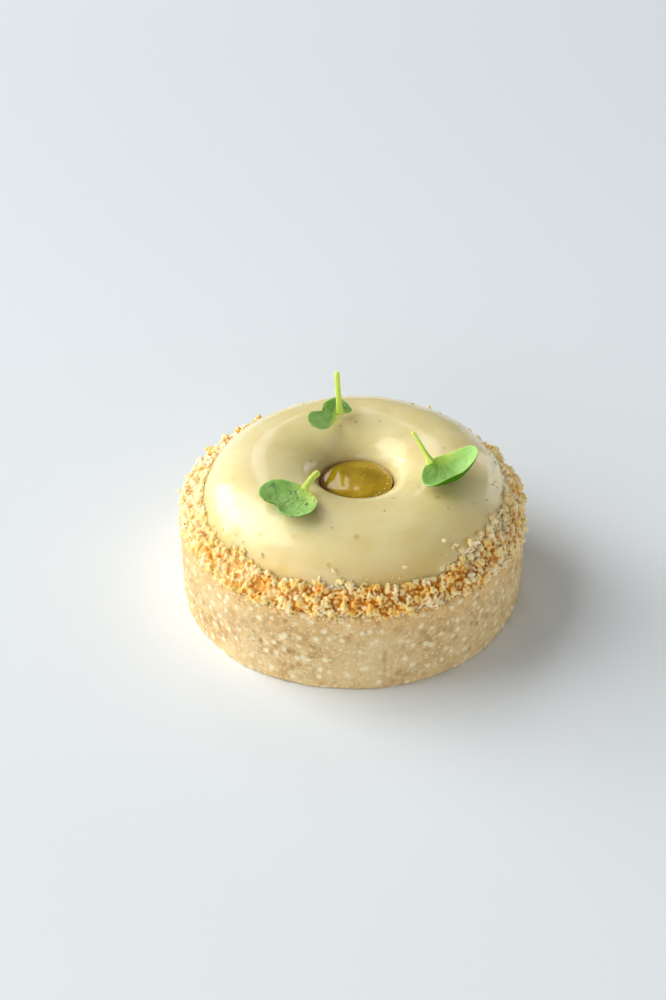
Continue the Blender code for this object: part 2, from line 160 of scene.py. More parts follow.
def inner_radius(height):
    """Radius of the hole: a straight wall, then the same formula turned inwards."""
    rise = np.clip((height - HOLE_WALL_TOP) / (MOUSSE_CROWN - HOLE_WALL_TOP), 0.0, 1.0)
    return MOUSSE_CROWN_RADIUS - (MOUSSE_CROWN_RADIUS - HOLE_RADIUS) * rounded(rise, INNER_FULLNESS)


def mousse_height(x, y):
    """Height of the ring's top over a point of the plan, the two formulas solved for height."""
    radius = np.hypot(x - MOUSSE_X, y)
    out = np.clip((radius - MOUSSE_CROWN_RADIUS) / (MOUSSE_FOOT_RADIUS - MOUSSE_CROWN_RADIUS), 0.0, 1.0)
    inward = np.clip((MOUSSE_CROWN_RADIUS - radius) / (MOUSSE_CROWN_RADIUS - HOLE_RADIUS), 0.0, 1.0)
    outer_side = MOUSSE_BASE + (MOUSSE_CROWN - MOUSSE_BASE) * rounded(out, OUTER_FULLNESS)
    hole_side = HOLE_WALL_TOP + (MOUSSE_CROWN - HOLE_WALL_TOP) * rounded(inward, INNER_FULLNESS)
    return np.where(radius > MOUSSE_CROWN_RADIUS, outer_side, hole_side)


print("shell %.1f mm high, ring crown at %.1f mm" % (CRUST_HEIGHT / MM, MOUSSE_CROWN / MM))

# %% [markdown]
# Food is never quite regular, and the unevenness has to be real shape. Random values through space
# do this well: they are smooth, they need no seam where a round shape closes, and adding a few of
# them at different sizes gives both slow waves and fine grit.

# %% Smooth random values through space
NOISE_VALUES = 4096
NOISE_MIXERS = (7919, 104729, 1299709)


def noise(points, size, seed):
    """From -1 to 1: each corner of a grid of cells has a random value, and a point blends the eight
    corners round it by its eased place in the cell."""
    cell = np.asarray(points) / size
    low = np.floor(cell).astype(np.int64)
    share = cell - low
    share = share * share * (3.0 - 2.0 * share)
    values = np.random.default_rng(seed).uniform(-1.0, 1.0, NOISE_VALUES)
    total = np.zeros(cell.shape[:-1])
    for corner in np.ndindex(2, 2, 2):
        at = (low + np.array(corner)) * NOISE_MIXERS
        mixed = at[..., 0] ^ at[..., 1] ^ at[..., 2]
        weight = np.prod(np.where(np.array(corner, bool), share, 1.0 - share), axis=-1)
        total += weight * values[mixed % NOISE_VALUES]
    return total


def layered_noise(points, layers, seed):
    """The sum of several noises, each given as (size, strength)."""
    return sum(strength * noise(points, size, seed + i) for i, (size, strength) in enumerate(layers))


sample = noise(np.random.default_rng(0).uniform(0.0, 1.0, (2000, 3)), 0.1, 1)
print("noise runs from %.2f to %.2f" % (sample.min(), sample.max()))

# %% [markdown]
# Most of the tart is turned work, so one helper joins a grid of points into faces and another puts
# them in a mesh. A grid that closes round wraps its last column to its first, and a pole is one
# point with a fan of triangles. Written this way, every surface is closed and faces outwards.

# %% From arrays to a mesh
def grid_faces(rows, columns, wrap=True, loop=False):
    """Quads of a grid: each joins a point to the one below, the one below and beside, and the one
    beside. With wrap the last column meets the first, and with loop the last row does too."""
    row, column = np.meshgrid(np.arange(rows if loop else rows - 1),
                              np.arange(columns if wrap else columns - 1), indexing="ij")
    below = (row + 1) % rows
    after = (column + 1) % columns
    quads = [row * columns + column, below * columns + column,
             below * columns + after, row * columns + after]
    return np.stack(quads, axis=-1).reshape(-1, 4)


def pole_faces(pole, first, columns, downward=False):
    """A fan of triangles from one point to a closed row, facing up or, if downward, down."""
    column = np.arange(columns)
    after = (column + 1) % columns
    fan = [np.full(columns, pole), first + column, first + after]
    if downward:
        fan = [fan[0], fan[2], fan[1]]
    return np.stack(fan, axis=-1)


def closed_tube(grid, first_pole, last_pole, upward=False):
    """Points and faces of a grid that closes round, with a pole over its first row and its last.
    The rows run down or, if upward, up."""
    rows, columns = grid.shape[:2]
    count = rows * columns
    quads = grid_faces(rows, columns)
    face_sets = [quads[:, ::-1] if upward else quads,
                 pole_faces(count, 0, columns, downward=upward),
                 pole_faces(count + 1, count - columns, columns, downward=not upward)]
    return np.concatenate([grid.reshape(-1, 3), [first_pole, last_pole]]), face_sets


def plain_mesh(name, points, face_sets):
    """A mesh from points and sets of triangles or quads."""
    mesh = bpy.data.meshes.new(name)
    points = np.asarray(points, dtype=np.float32).reshape(-1, 3)
    corners = np.concatenate([faces.ravel() for faces in face_sets])
    sides = np.concatenate([np.full(len(faces), faces.shape[1]) for faces in face_sets])
    starts = np.concatenate([[0], np.cumsum(sides)[:-1]])
    mesh.vertices.add(len(points))
    mesh.vertices.foreach_set("co", points.ravel())
    mesh.loops.add(len(corners))
    mesh.loops.foreach_set("vertex_index", corners.astype(np.int32))
    mesh.polygons.add(len(sides))
    mesh.polygons.foreach_set("loop_start", starts.astype(np.int32))
    mesh.update(calc_edges=True)
    mesh.validate()
    return mesh


def make_piece(name, points, face_sets, material, slot, **masks):
    """A finished mesh object that rides on the tart. Each mask is one value a point."""
    mesh = plain_mesh(name, points, face_sets)
    mesh.shade_smooth()
    for mask, values in masks.items():
        layer = mesh.attributes.new(mask, "FLOAT", "POINT")
        layer.data.foreach_set("value", np.asarray(values, dtype=np.float32).ravel())
    mesh.materials.append(material)
    piece = bpy.data.objects.new(name, mesh)
    bpy.context.scene.collection.objects.link(piece)
    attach(piece, BODY)
    print("%s: %d points, %d faces" % (name, len(mesh.vertices), len(mesh.polygons)))
    return piece


print("a grid of 3 rows by 8 columns has %d quads" % len(grid_faces(3, 8)))

# %% [markdown]
# The camera stands where a person sitting at the table would hold theirs, a little above the tart
# and looking down at it. Its place, tilt and lens were worked out from the two ellipses that the
# shell's rim and foot make in the photograph.

# %% Camera
CAMERA_PLACE = (-0.00436, -0.47158, 0.37146)
CAMERA_TILT = np.radians(53.6)
CAMERA_LENS = 91.6
FILM_WIDTH = 36.0
NEAREST_SEEN = 0.01

camera_data = bpy.data.cameras.new("table_camera")
camera_data.lens = CAMERA_LENS
camera_data.sensor_width = FILM_WIDTH
camera_data.clip_start = NEAREST_SEEN
camera = bpy.data.objects.new("table_camera", camera_data)
camera.location = CAMERA_PLACE
camera.rotation_euler = (CAMERA_TILT, 0.0, 0.0)
bpy.context.scene.collection.objects.link(camera)
bpy.context.scene.camera = camera
print("camera looks down by %.1f degrees" % (90.0 - np.degrees(CAMERA_TILT)))

# %% [markdown]
# Nodes are quicker to read when each is made in one line. The first helper adds a node and fills or
# links its sockets by name, the others wrap the few nodes that every material needs.

# %% Node helpers
def node(tree, kind, settings=None, **inputs):
    """Add a shader node. An input is a value or another node's socket, and _ stands for a space."""
    made = tree.nodes.new("ShaderNode" + kind)
    for key, value in (settings or {}).items():
        setattr(made, key, value)
    for key, value in inputs.items():
        join(tree, made.inputs[key.replace("_", " ")], value)
    return made


def join(tree, socket, value):
    """Link a socket to another, or set its value."""
    if isinstance(value, bpy.types.NodeSocket):
        tree.links.new(value, socket)
    elif hasattr(value, "__len__") and len(value) == 3 and socket.type == "RGBA":
        socket.default_value = (*value, 1.0)
    else:
        socket.default_value = value


def calculate(tree, operation, first, second):
    """One Math node over two values, and its result."""
    made = node(tree, "Math", {"operation": operation})
    join(tree, made.inputs[0], first)
    join(tree, made.inputs[1], second)
    return made.outputs[0]


def blend(tree, share, first, second, mode="MIX"):
    """Mix two colours by a share, and give the result."""
    made = node(tree, "Mix", {"data_type": "RGBA", "blend_type": mode})
    join(tree, made.inputs[0], share)
    join(tree, made.inputs[6], first)
    join(tree, made.inputs[7], second)
    return made.outputs[2]


def tint(tree, mask, strength, colour, over, mode="MIX"):
    """Lay a colour over another one by a mask times a strength."""
    return blend(tree, calculate(tree, "MULTIPLY", mask, strength), over, colour, mode)


def between(tree, value, low, high, bottom=0.0, top=1.0):
    """Carry a value from the span low to high over to bottom to top, smoothly and within them."""
    made = node(tree, "MapRange", {"interpolation_type": "SMOOTHSTEP"}, Value=value)
    for key, number in (("From Min", low), ("From Max", high), ("To Min", bottom), ("To Max", top)):
        join(tree, made.inputs[key], number)
    return made.outputs["Result"]


def attribute(tree, name):
    """The mask of this name that a mesh carries."""
    return node(tree, "Attribute", {"attribute_name": name}).outputs["Fac"]


def place(tree):
    """Where a shading point is on the tart, in metres."""
    return node(tree, "TexCoord").outputs["Object"]


def part_of(tree, at, axis):
    """One coordinate of a place."""
    return node(tree, "SeparateXYZ", Vector=at).outputs[axis]


def new_material(name, **inputs):
    """A material with one Principled BSDF, its constant values set on its own sockets."""
    material = bpy.data.materials.new(name)
    material.use_nodes = True
    tree = material.node_tree
    shader = tree.nodes["Principled BSDF"]
    for key, value in inputs.items():
        join(tree, shader.inputs[key.replace("_", " ")], value)
    return material, tree, shader


print("node helpers ready")

# %% [markdown]
# Three effects serve nearly every surface here. Mottling is the slow change of colour that baking
# and setting leave, and it mixes two colours by noise at a size the material chooses. Grain is the
# fine unevenness under the fingers: a height made of noise, with small round pores pushed into it.
# Dots are round and of many sizes, because cells that fill space are cut at different depths by the
# surface. Each is a node group, so a change to it reaches every material at once.

# %% Shared node groups
PORE_EDGE = (0.12, 0.34)
PORE_BEND = 0.0006
DOT_BEND = 0.0003


def new_group(name, inputs, outputs):
    """A shader node group with named sockets, given as (name, kind, value)."""
    tree = bpy.data.node_groups.new(name, "ShaderNodeTree")
    for label, kind, value in inputs:
        socket = tree.interface.new_socket(label, in_out="INPUT", socket_type="NodeSocket" + kind)
        if value is not None:
            socket.default_value = value
    for label, kind in outputs:
        tree.interface.new_socket(label, in_out="OUTPUT", socket_type="NodeSocket" + kind)
    source = tree.nodes.new("NodeGroupInput").outputs
    target = tree.nodes.new("NodeGroupOutput").inputs
    return tree, source, target


def bent(tree, at, noise_colour, amount):
    """A place pushed about by a noise's colour times an amount in metres."""
    moved = node(tree, "VectorMath", {"operation": "MULTIPLY_ADD"})
    for socket, value in zip(moved.inputs, (noise_colour, (amount, amount, amount), at)):
        join(tree, socket, value)
    return moved.outputs[0]


mottle, source, target = new_group(
    "mottle",
    [("Place", "Vector", None), ("Size", "Float", 100.0), ("Sharpness", "Float", 0.15),
     ("Share", "Float", 0.5), ("First", "Color", (1, 1, 1, 1)), ("Second", "Color", (0, 0, 0, 1))],
    [("Colour", "Color"), ("Mask", "Float")])
clouds = node(mottle, "TexNoise", Vector=source["Place"], Scale=source["Size"], Detail=4.0, Roughness=0.6)
low_edge = calculate(mottle, "SUBTRACT", source["Share"], source["Sharpness"])
high_edge = calculate(mottle, "ADD", source["Share"], source["Sharpness"])
cloud_mask = between(mottle, clouds.outputs["Fac"], low_edge, high_edge)
join(mottle, target["Colour"], blend(mottle, cloud_mask, source["First"], source["Second"]))
join(mottle, target["Mask"], cloud_mask)

grain, source, target = new_group(
    "grain",
    [("Place", "Vector", None), ("Size", "Float", 1000.0), ("Pore Size", "Float", 600.0),
     ("Pores", "Float", 0.5)],
    [("Height", "Float"), ("Pore Mask", "Float")])
grit = node(grain, "TexNoise", Vector=source["Place"], Scale=source["Size"], Detail=3.0, Roughness=0.65)
pore_place = bent(grain, source["Place"], grit.outputs["Color"], PORE_BEND)
pores = node(grain, "TexVoronoi", Vector=pore_place, Scale=source["Pore Size"])
pore_mask = between(grain, pores.outputs["Distance"], *PORE_EDGE, 1.0, 0.0)
sunk = calculate(grain, "MULTIPLY", pore_mask, source["Pores"])
join(grain, target["Height"], calculate(grain, "SUBTRACT", grit.outputs["Fac"], sunk))
join(grain, target["Pore Mask"], pore_mask)

dots, source, target = new_group(
    "dots",
    [("Place", "Vector", None), ("Size", "Float", 400.0), ("Smallest", "Float", 0.2),
     ("Largest", "Float", 0.3), ("Strength", "Float", 1.0)],
    [("Mask", "Float")])
bend = node(dots, "TexNoise", Vector=source["Place"], Scale=1400.0, Detail=1.0)
dot_place = bent(dots, source["Place"], bend.outputs["Color"], DOT_BEND)
cells = node(dots, "TexVoronoi", Vector=dot_place, Scale=source["Size"])
dot_mask = between(dots, cells.outputs["Distance"], source["Smallest"], source["Largest"],
                   source["Strength"], 0.0)
join(dots, target["Mask"], dot_mask)
print("groups:", mottle.name, grain.name, dots.name)

# %% [markdown]
# A material places a group and gives it values of its own. These helpers do that for the three
# effects, and say which way round their numbers go: a larger size number makes a finer pattern,
# because it counts cells along a metre.

# %% Placing the shared groups
def use_group(tree, group, **inputs):
    """Place a group in a material and fill its sockets by name."""
    made = tree.nodes.new("ShaderNodeGroup")
    made.node_tree = group
    for key, value in inputs.items():
        join(tree, made.inputs[key.replace("_", " ")], value)
    return made.outputs


def mottled(tree, at, size, sharpness, first, second, share=0.5):
    """Two colours mixed by noise."""
    return use_group(tree, mottle, Place=at, Size=size, Sharpness=sharpness, Share=share,
                     First=first, Second=second)["Colour"]


def dotted(tree, at, size, smallest, largest, strength, colour, over):
    """Round dots of one colour laid over another."""
    mask = use_group(tree, dots, Place=at, Size=size, Smallest=smallest, Largest=largest,
                     Strength=strength)["Mask"]
    return blend(tree, mask, over, colour)


def rough_skin(tree, shader, at, size, pore_size, pores, strength, depth):
    """Grain as a bump on the shader's normal. It gives the mask of the pores."""
    skin_grain = use_group(tree, grain, Place=at, Size=size, Pore_Size=pore_size, Pores=pores)
    bump = node(tree, "Bump", Height=skin_grain["Height"], Strength=strength, Distance=depth)
    join(tree, shader.inputs["Normal"], bump.outputs["Normal"])
    return skin_grain["Pore Mask"]


print("effects ready")

# %% [markdown]
# A pale table and big soft windows at the left and behind give the tart its look: bright left faces,
# a warm darker front and a soft shadow to the right. Plain area lights of the windows' sizes do this.
# A narrow pane behind makes the glint in the gel, four dim cards stand for the pale walls that fill
# the shadows, and a pale world does the rest. The standard view keeps the light end of the picture
# clean and white, as high key food pictures are.

# %% Floor and light
FLOOR_REACH = 3.0
TABLE_NEAR = (0.87, 0.93, 0.98)
TABLE_FAR_SHADED = (0.805, 0.87, 0.925)
TABLE_FADE = 0.30
TART_MIDDLE = (0.0, 0.0, 0.02)
CARD_WHITE = (1.0, 0.99, 0.96)
WORLD_COLOUR = (0.97, 0.985, 1.0, 1.0)
WORLD_STRENGTH = 0.14
LIGHTS = {
    "soft_box": ((-1.71, 0.40, 1.65), (2.3, 1.8), 50.0, (1.0, 0.985, 0.95)),
    "window": ((-1.98, 1.20, 0.66), (1.35, 1.05), 22.0, (1.0, 1.0, 1.0)),
    "back_pane": ((-0.29, 1.91, 1.43), (0.44, 0.66), 2.1, (1.0, 1.0, 1.0)),
    "left_card": ((-2.08, -0.64, 0.50), (1.44, 0.96), 10.0, CARD_WHITE),
    "front_card": ((-0.96, -2.06, 0.66), (1.92, 1.28), 16.0, CARD_WHITE),
    "right_card": ((2.00, -0.30, 0.18), (1.5, 0.32), 10.0, CARD_WHITE),
    "far_card": ((1.34, 1.49, 0.30), (1.2, 0.8), 4.5, CARD_WHITE),
}


def make_light(name, place_at, size, power, colour):
    """A soft rectangular light that faces the tart's middle."""
    data = bpy.data.lights.new(name, "AREA")
    data.shape = "RECTANGLE"
    data.size, data.size_y = size
    data.energy = power
    data.color = colour
    light = bpy.data.objects.new(name, data)
    light.location = place_at
    toward = np.array(TART_MIDDLE) - np.array(place_at)
    flat = np.hypot(toward[0], toward[1])
    light.rotation_euler = (np.arctan2(flat, -toward[2]), 0.0, np.arctan2(-toward[0], toward[1]))
    bpy.context.scene.collection.objects.link(light)


floor_mesh = bpy.data.meshes.new("table")
floor_corners = [(x * FLOOR_REACH, y * FLOOR_REACH, 0.0) for x, y in ((-1, -1), (1, -1), (1, 1), (-1, 1))]
floor_mesh.from_pydata(floor_corners, [], [(0, 1, 2, 3)])
table, tree, shader = new_material("table_white", Roughness=0.6)
# Painted shade: the table is darker towards the back, for light that falls off with distance.
far_shade_share = between(tree, part_of(tree, place(tree), "Y"), 0.0, TABLE_FADE)
join(tree, shader.inputs["Base Color"], blend(tree, far_shade_share, TABLE_NEAR, TABLE_FAR_SHADED))
floor_mesh.materials.append(table)
floor = bpy.data.objects.new("table", floor_mesh)
bpy.context.scene.collection.objects.link(floor)
floor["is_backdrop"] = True

for name, light_values in LIGHTS.items():
    make_light(name, *light_values)

world = bpy.data.worlds.new("pale_room")
world.use_nodes = True
background = world.node_tree.nodes["Background"]
background.inputs["Color"].default_value = WORLD_COLOUR
background.inputs["Strength"].default_value = WORLD_STRENGTH
bpy.context.scene.world = world
bpy.context.scene.view_settings.view_transform = "Standard"
print("lights:", list(LIGHTS))

# %% [markdown]
# The biscuit shell was baked in a straight ring, so it is a low drum whose wall shows what touched
# the ring: a dry sandy grain, small pits, and round cream dots where fat and sugar gathered.
# It could be sculpted, but a turned grid pushed in and out by noise gives the same wall with every
# part adjustable. The pits are real dents, and the same values darken them brown as painted shade.

# %% Biscuit shell, its shape
CRUST_STEPS = 720
TOP_ROWS = 5
CORNER_ROWS = 7
WALL_ROWS = 60
RIM_ROUND = 1.2 * MM
FOOT_ROUND = 0.6 * MM
RIM_WAVE = 0.22 * MM
RELIEF_LAYERS = [(7.0 * MM, 0.16), (2.6 * MM, 0.11), (1.1 * MM, 0.09), (0.6 * MM, 0.07)]


def crust_profile():
    """Radius and height down the shell: flat top, a quarter round, the flaring wall, the foot."""
    quarter = np.linspace(0.0, np.pi / 2.0, CORNER_ROWS)
    wall = np.linspace(0.0, 1.0, WALL_ROWS)[1:]
    wall_top = CRUST_HEIGHT - RIM_ROUND
    radius = [np.linspace(0.3, 0.96, TOP_ROWS) * CRUST_RIM_RADIUS,
              CRUST_RIM_RADIUS - RIM_ROUND * (1.0 - np.sin(quarter)),
              CRUST_RIM_RADIUS + (CRUST_FOOT_RADIUS - CRUST_RIM_RADIUS) * wall,
              CRUST_FOOT_RADIUS - FOOT_ROUND * (1.0 - np.cos(quarter[1:])),
              [0.5 * CRUST_FOOT_RADIUS]]
    height = [np.full(TOP_ROWS, CRUST_HEIGHT),
              wall_top + RIM_ROUND * np.cos(quarter),
              wall_top + (FOOT_ROUND - wall_top) * wall,
              FOOT_ROUND * (1.0 - np.sin(quarter[1:])),
              [0.0]]
    return np.concatenate(radius), np.concatenate(height)


def rim_wave(angle):
    """How far the wall stands out of true by direction: five waves and nine weaker ones round it."""
    return RIM_WAVE * (np.sin(5.0 * angle + 0.4) + 0.6 * np.sin(9.0 * angle + 1.9)) / 1.6


angle, radius, height = swept(*crust_profile(), CRUST_STEPS)
still = turned(angle, radius, height)
relief = layered_noise(still, RELIEF_LAYERS, 11) * MM
print("shell: %d rows by %d steps" % angle.shape)

# %% [markdown]
# Four things break the wall's skin: round dents, the upright seam of the ring it was baked in, the
# crumbled edge of the rim, and chips out of the foot. Each is a depth worked out over the whole grid,
# and their sum moves the points in or out.

# %% Biscuit shell, its dents, seam, rim and foot
PIT_COUNT = 300
PIT_DEPTH = 0.26 * MM
DENT_SPAN = 0.05
SEAM_ANGLE = np.radians(-79.5)
SEAM_WIDTH = 0.3 * MM
SEAM_STRAYS = 0.35 * MM
SEAM_DEPTH = 0.16 * MM
RIM_GRIT = 0.16
FOOT_CHIP = 0.35


def scattered_dents(angle, height, count, seed):
    """Round dents at random places of the wall: each falls off as a bell curve of its own width."""
    rng = np.random.default_rng(seed)
    total = np.zeros(np.broadcast(angle, height).shape)
    for at, up, width in zip(rng.uniform(-np.pi, np.pi, count),
                             rng.uniform(0.04, 0.96, count) * CRUST_HEIGHT,
                             rng.uniform(0.18, 0.5, count) * MM):
        columns = np.abs(turn_from(angle[0], at)) < DENT_SPAN
        across = turn_from(angle[:, columns], at) * CRUST_RIM_RADIUS
        climb = 0.8 * (height[:, columns] - up)
        total[:, columns] += np.exp(-(across ** 2 + climb ** 2) / width ** 2)
    return np.clip(total, 0.0, 1.0)


side = ease(radius, 0.9 * CRUST_RIM_RADIUS, 0.97 * CRUST_RIM_RADIUS)
pits = scattered_dents(angle, height, PIT_COUNT, 5) * ease(noise(still, 8.0 * MM, 3), -0.4, 0.5)
seam_distance = turn_from(angle, SEAM_ANGLE) * CRUST_RIM_RADIUS
seam = bell(seam_distance + SEAM_STRAYS * noise(still, 3.0 * MM, 21), 0.0, SEAM_WIDTH)
seam = seam * ease(noise(still, 2.2 * MM, 22), -0.3, 0.4) * ease(height, 2.0 * MM, 6.0 * MM)
near_rim = ease(height, CRUST_HEIGHT - 1.6 * MM, CRUST_HEIGHT)
near_foot = ease(-height, -1.0 * MM, 0.0)
rim_crumble = near_rim * noise(still, 1.0 * MM, 31) * RIM_GRIT * MM
foot_chips = near_foot * np.clip(noise(still, 0.9 * MM, 33), 0.0, 1.0) * FOOT_CHIP * MM
push = side * (rim_wave(angle) + relief + rim_crumble - foot_chips - PIT_DEPTH * pits - SEAM_DEPTH * seam)
crust_points = still * (1.0 + push / np.maximum(radius, 1.0 * MM))[..., None]
crust_points[..., 2] = height + side * rim_crumble * ease(height, 0.5 * CRUST_HEIGHT, CRUST_HEIGHT)
print("%d dents, seam at %.1f degrees" % (PIT_COUNT, np.degrees(SEAM_ANGLE)))

# %% [markdown]
# Baked biscuit is matt and speckled. The colour starts with two close sand tones mottled together,
# warms towards the rim where the oven reached it, takes toffee spots and cream dots from round cells
# scattered through space, and is darkened brown as painted shade in the pits, the seam and the pores.
# Because the cells fill space, the surface cuts them at different depths and the dots get different
# sizes by themselves.

# %% Biscuit shell, its material
SAND_DEEP = (0.53, 0.315, 0.118)
SAND_LIGHT = (0.80, 0.58, 0.27)
SAND_PATCH = (0.81, 0.61, 0.31)
OVEN_GOLD = (0.84, 0.52, 0.19)
TOFFEE = (0.70, 0.37, 0.09)
FAT_DOT = (0.92, 0.78, 0.50)
SUGAR_DOT = (0.94, 0.82, 0.55)
PORE_SHADE_BROWN = (0.50, 0.32, 0.14)
PIT_SHADE_BROWN = (0.38, 0.185, 0.055)

biscuit, tree, shader = new_material("pale_biscuit", Roughness=0.82)
at = place(tree)
sand = mottled(tree, at, 420.0, 0.16, SAND_DEEP, SAND_LIGHT)
patches = mottled(tree, at, 90.0, 0.18, sand, SAND_PATCH, share=0.52)
oven_reach = between(tree, part_of(tree, at, "Z"), 0.013, 0.0205)
colour = tint(tree, oven_reach, 0.55, OVEN_GOLD, patches)
colour = dotted(tree, at, 300.0, 0.06, 0.22, 0.35, TOFFEE, colour)
colour = dotted(tree, at, 900.0, 0.12, 0.42, 0.62, FAT_DOT, colour)
colour = dotted(tree, at, 400.0, 0.15, 0.40, 0.9, SUGAR_DOT, colour)
pore_mask = rough_skin(tree, shader, at, 1500.0, 1100.0, 0.35, strength=0.7, depth=0.00025)
# Painted shade: the pores are tinted brown.
colour = tint(tree, pore_mask, 0.14, PORE_SHADE_BROWN, colour)
# Painted shade: the pits and the seam are darkened brown by their depth mask.
join(tree, shader.inputs["Base Color"], tint(tree, attribute(tree, "pit"), 0.7, PIT_SHADE_BROWN, colour))

points, face_sets = closed_tube(crust_points, (0.0, 0.0, CRUST_HEIGHT), (0.0, 0.0, 0.0))
pit_shade_mask = np.concatenate([np.clip(pits + 0.7 * seam, 0.0, 1.0).ravel(), [0.0, 0.0]])
crust = make_piece("biscuit_shell", points, face_sets, biscuit, "biscuit", pit=pit_shade_mask)
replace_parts(crust, "tart_crust")

# %% [markdown]
# The mousse ring was set in a mould and then glazed, so its form is exact but its skin isn't: the
# glaze pools at the front, gathers in a thick lobe at the left and wrinkles on the right, where it
# slid as it set. The section is one closed line carried round the hole, and the pools and wrinkles
# are waves along the angle that fade in and out with height.

# %% Mousse ring, its shape
MOUSSE_STEPS = 480
SECTION_ROWS = 64
FOOT_ROWS = 6
SLUMP = 0.15 * MM
FOLD_DEPTH = 0.15 * MM
FOLD_TURN = 8.0
LOBE_DEPTH = 0.35 * MM
LOBE_TURN = -146.0
SKIN_LAYERS = [(14.0 * MM, 0.22), (7.0 * MM, 0.09), (3.0 * MM, 0.02)]


def mousse_section():
    """Radius and height round the section: outer side down, flat foot, hole wall, inner side up."""
    quarter = np.linspace(0.0, np.pi / 2.0, SECTION_ROWS)
    outer_rise = np.cos(quarter) ** (2.0 / OUTER_FULLNESS)
    outer_run = np.sin(quarter) ** (2.0 / OUTER_FULLNESS)
    inner_rise = np.cos(quarter) ** (2.0 / INNER_FULLNESS)
    inner_run = np.sin(quarter) ** (2.0 / INNER_FULLNESS)
    radius = [MOUSSE_CROWN_RADIUS + (MOUSSE_FOOT_RADIUS - MOUSSE_CROWN_RADIUS) * outer_run,
              np.linspace(MOUSSE_FOOT_RADIUS, HOLE_RADIUS, FOOT_ROWS)[1:],
              (MOUSSE_CROWN_RADIUS - (MOUSSE_CROWN_RADIUS - HOLE_RADIUS) * inner_run)[:0:-1]]
    height = [MOUSSE_BASE + (MOUSSE_CROWN - MOUSSE_BASE) * outer_rise,
              np.full(FOOT_ROWS - 1, MOUSSE_BASE),
              (HOLE_WALL_TOP + (MOUSSE_CROWN - HOLE_WALL_TOP) * inner_rise)[:0:-1]]
    return np.concatenate(radius), np.concatenate(height)


def skin_ripples(points):
    """How far the glaze stands out at points of the smooth ring: noises of three sizes."""
    return layered_noise(points, SKIN_LAYERS, 51) * MM


angle, radius, height = swept(*mousse_section(), MOUSSE_STEPS)
still = turned(angle, radius, height)
outside = radius > MOUSSE_CROWN_RADIUS
fold_turn = turned_by(angle, FOLD_TURN)
folds = bell(fold_turn, 0.0, 22.0) * bell(height, 30.0 * MM, 3.2 * MM) * outside
fold_waves = folds * np.sin(height / (0.42 * MM) + 0.05 * fold_turn + 2.0 * noise(still, 6.0 * MM, 52))
lobe = facing(angle, LOBE_TURN, 5.0) * bell(height, 27.5 * MM, 1.6 * MM) * outside
skin = ease(height, MOUSSE_BASE + 0.5 * MM, MOUSSE_BASE + 3.0 * MM)
push = skin * (skin_ripples(still) + FOLD_DEPTH * fold_waves + LOBE_DEPTH * lobe)
across = np.stack([-np.sin(angle), np.cos(angle), 0.0 * angle], axis=-1)
normal = np.cross(np.gradient(still, axis=0), across)
normal = normal / np.maximum(np.linalg.norm(normal, axis=-1, keepdims=True), 1e-9)
mousse_points = still + push[..., None] * normal
mousse_points[..., 0] += MOUSSE_X
slump = SLUMP * (0.6 * np.sin(2.0 * angle + 0.7) + 0.4 * np.sin(3.0 * angle + 2.1))
mousse_points[..., 2] += slump * ease(height, 28.0 * MM, 33.0 * MM)
print("largest push of the skin: %.2f mm" % (np.abs(push).max() / MM))

# %% [markdown]
# The glaze is clear and wet over pale yellow green mousse. Light goes a little way in, which softens
# the shading, and the coat gives the sharp window highlight. The colour changes slowly from cream
# green to a darker, deeper yellow low on the sides. Just above the crumble a gold glow is painted on,
# painted light for what the crumbs pass on to the glaze, most of all at the front left, and olive
# stains show where lime peel lies deeper down.

# %% Mousse ring, its material
GLAZE_CREAM = (0.86, 0.72, 0.32)
GLAZE_PALE = (0.94, 0.82, 0.46)
GLAZE_DEEP = (0.72, 0.50, 0.15)
PAINTED_GLOW_GOLD = (0.95, 0.60, 0.15)
PEEL_STAIN = (0.60, 0.47, 0.10)
GOLDEN_TURN = -138.0
GOLDEN_WIDTH = 24.0

glaze, tree, shader = new_material(
    "lime_glaze", Roughness=0.38, Subsurface_Weight=0.8, Subsurface_Radius=(1.0, 0.75, 0.4),
    Subsurface_Scale=0.004, Coat_Weight=0.9, Coat_Roughness=0.10, Coat_IOR=1.4)
at = place(tree)
# Darker, deeper yellow low on the ring's sides.
low_side = between(tree, part_of(tree, at, "Z"), 0.0245, 0.033, 1.0, 0.0)
colour = mottled(tree, at, 110.0, 0.22, GLAZE_CREAM, GLAZE_PALE)
colour = tint(tree, low_side, 0.8, GLAZE_DEEP, colour)
# Painted light: a gold glow from the crumbs just above the crumble.
colour = tint(tree, attribute(tree, "fringe"), 0.65, PAINTED_GLOW_GOLD, colour)
join(tree, shader.inputs["Base Color"], dotted(tree, at, 150.0, 0.05, 0.13, 0.55, PEEL_STAIN, colour))
rough_skin(tree, shader, at, 260.0, 300.0, 0.2, strength=0.12, depth=0.0006)

# Where the painted glow lies: just above the crumble, strongest at the front left.
fringe = outside * bell(height, 26.0 * MM, 3.4 * MM)
fringe = fringe * (0.5 + 0.5 * facing(angle, GOLDEN_TURN, GOLDEN_WIDTH))
fringe = fringe * (0.65 + 0.35 * noise(still, 2.2 * MM, 53))
ring_faces = grid_faces(*angle.shape, loop=True)
mousse = make_piece("glazed_mousse", mousse_points, [ring_faces], glaze, "mousse_glaze", fringe=fringe)
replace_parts(mousse, "mousse_ring")

# %% [markdown]
# Lime gel was poured into the hole and set almost level with the lip. It is clear amber, lighter in
# the middle, and a ring near the wall is painted: painted shade at the left, where the wall is seen
# through the edge, and a painted glow at the right, where light that passed through the gel comes
# back. A domed disc on a plug gives the shape. One mask keeps how far out a point lies, and another
# how much of that painted glow a point takes.

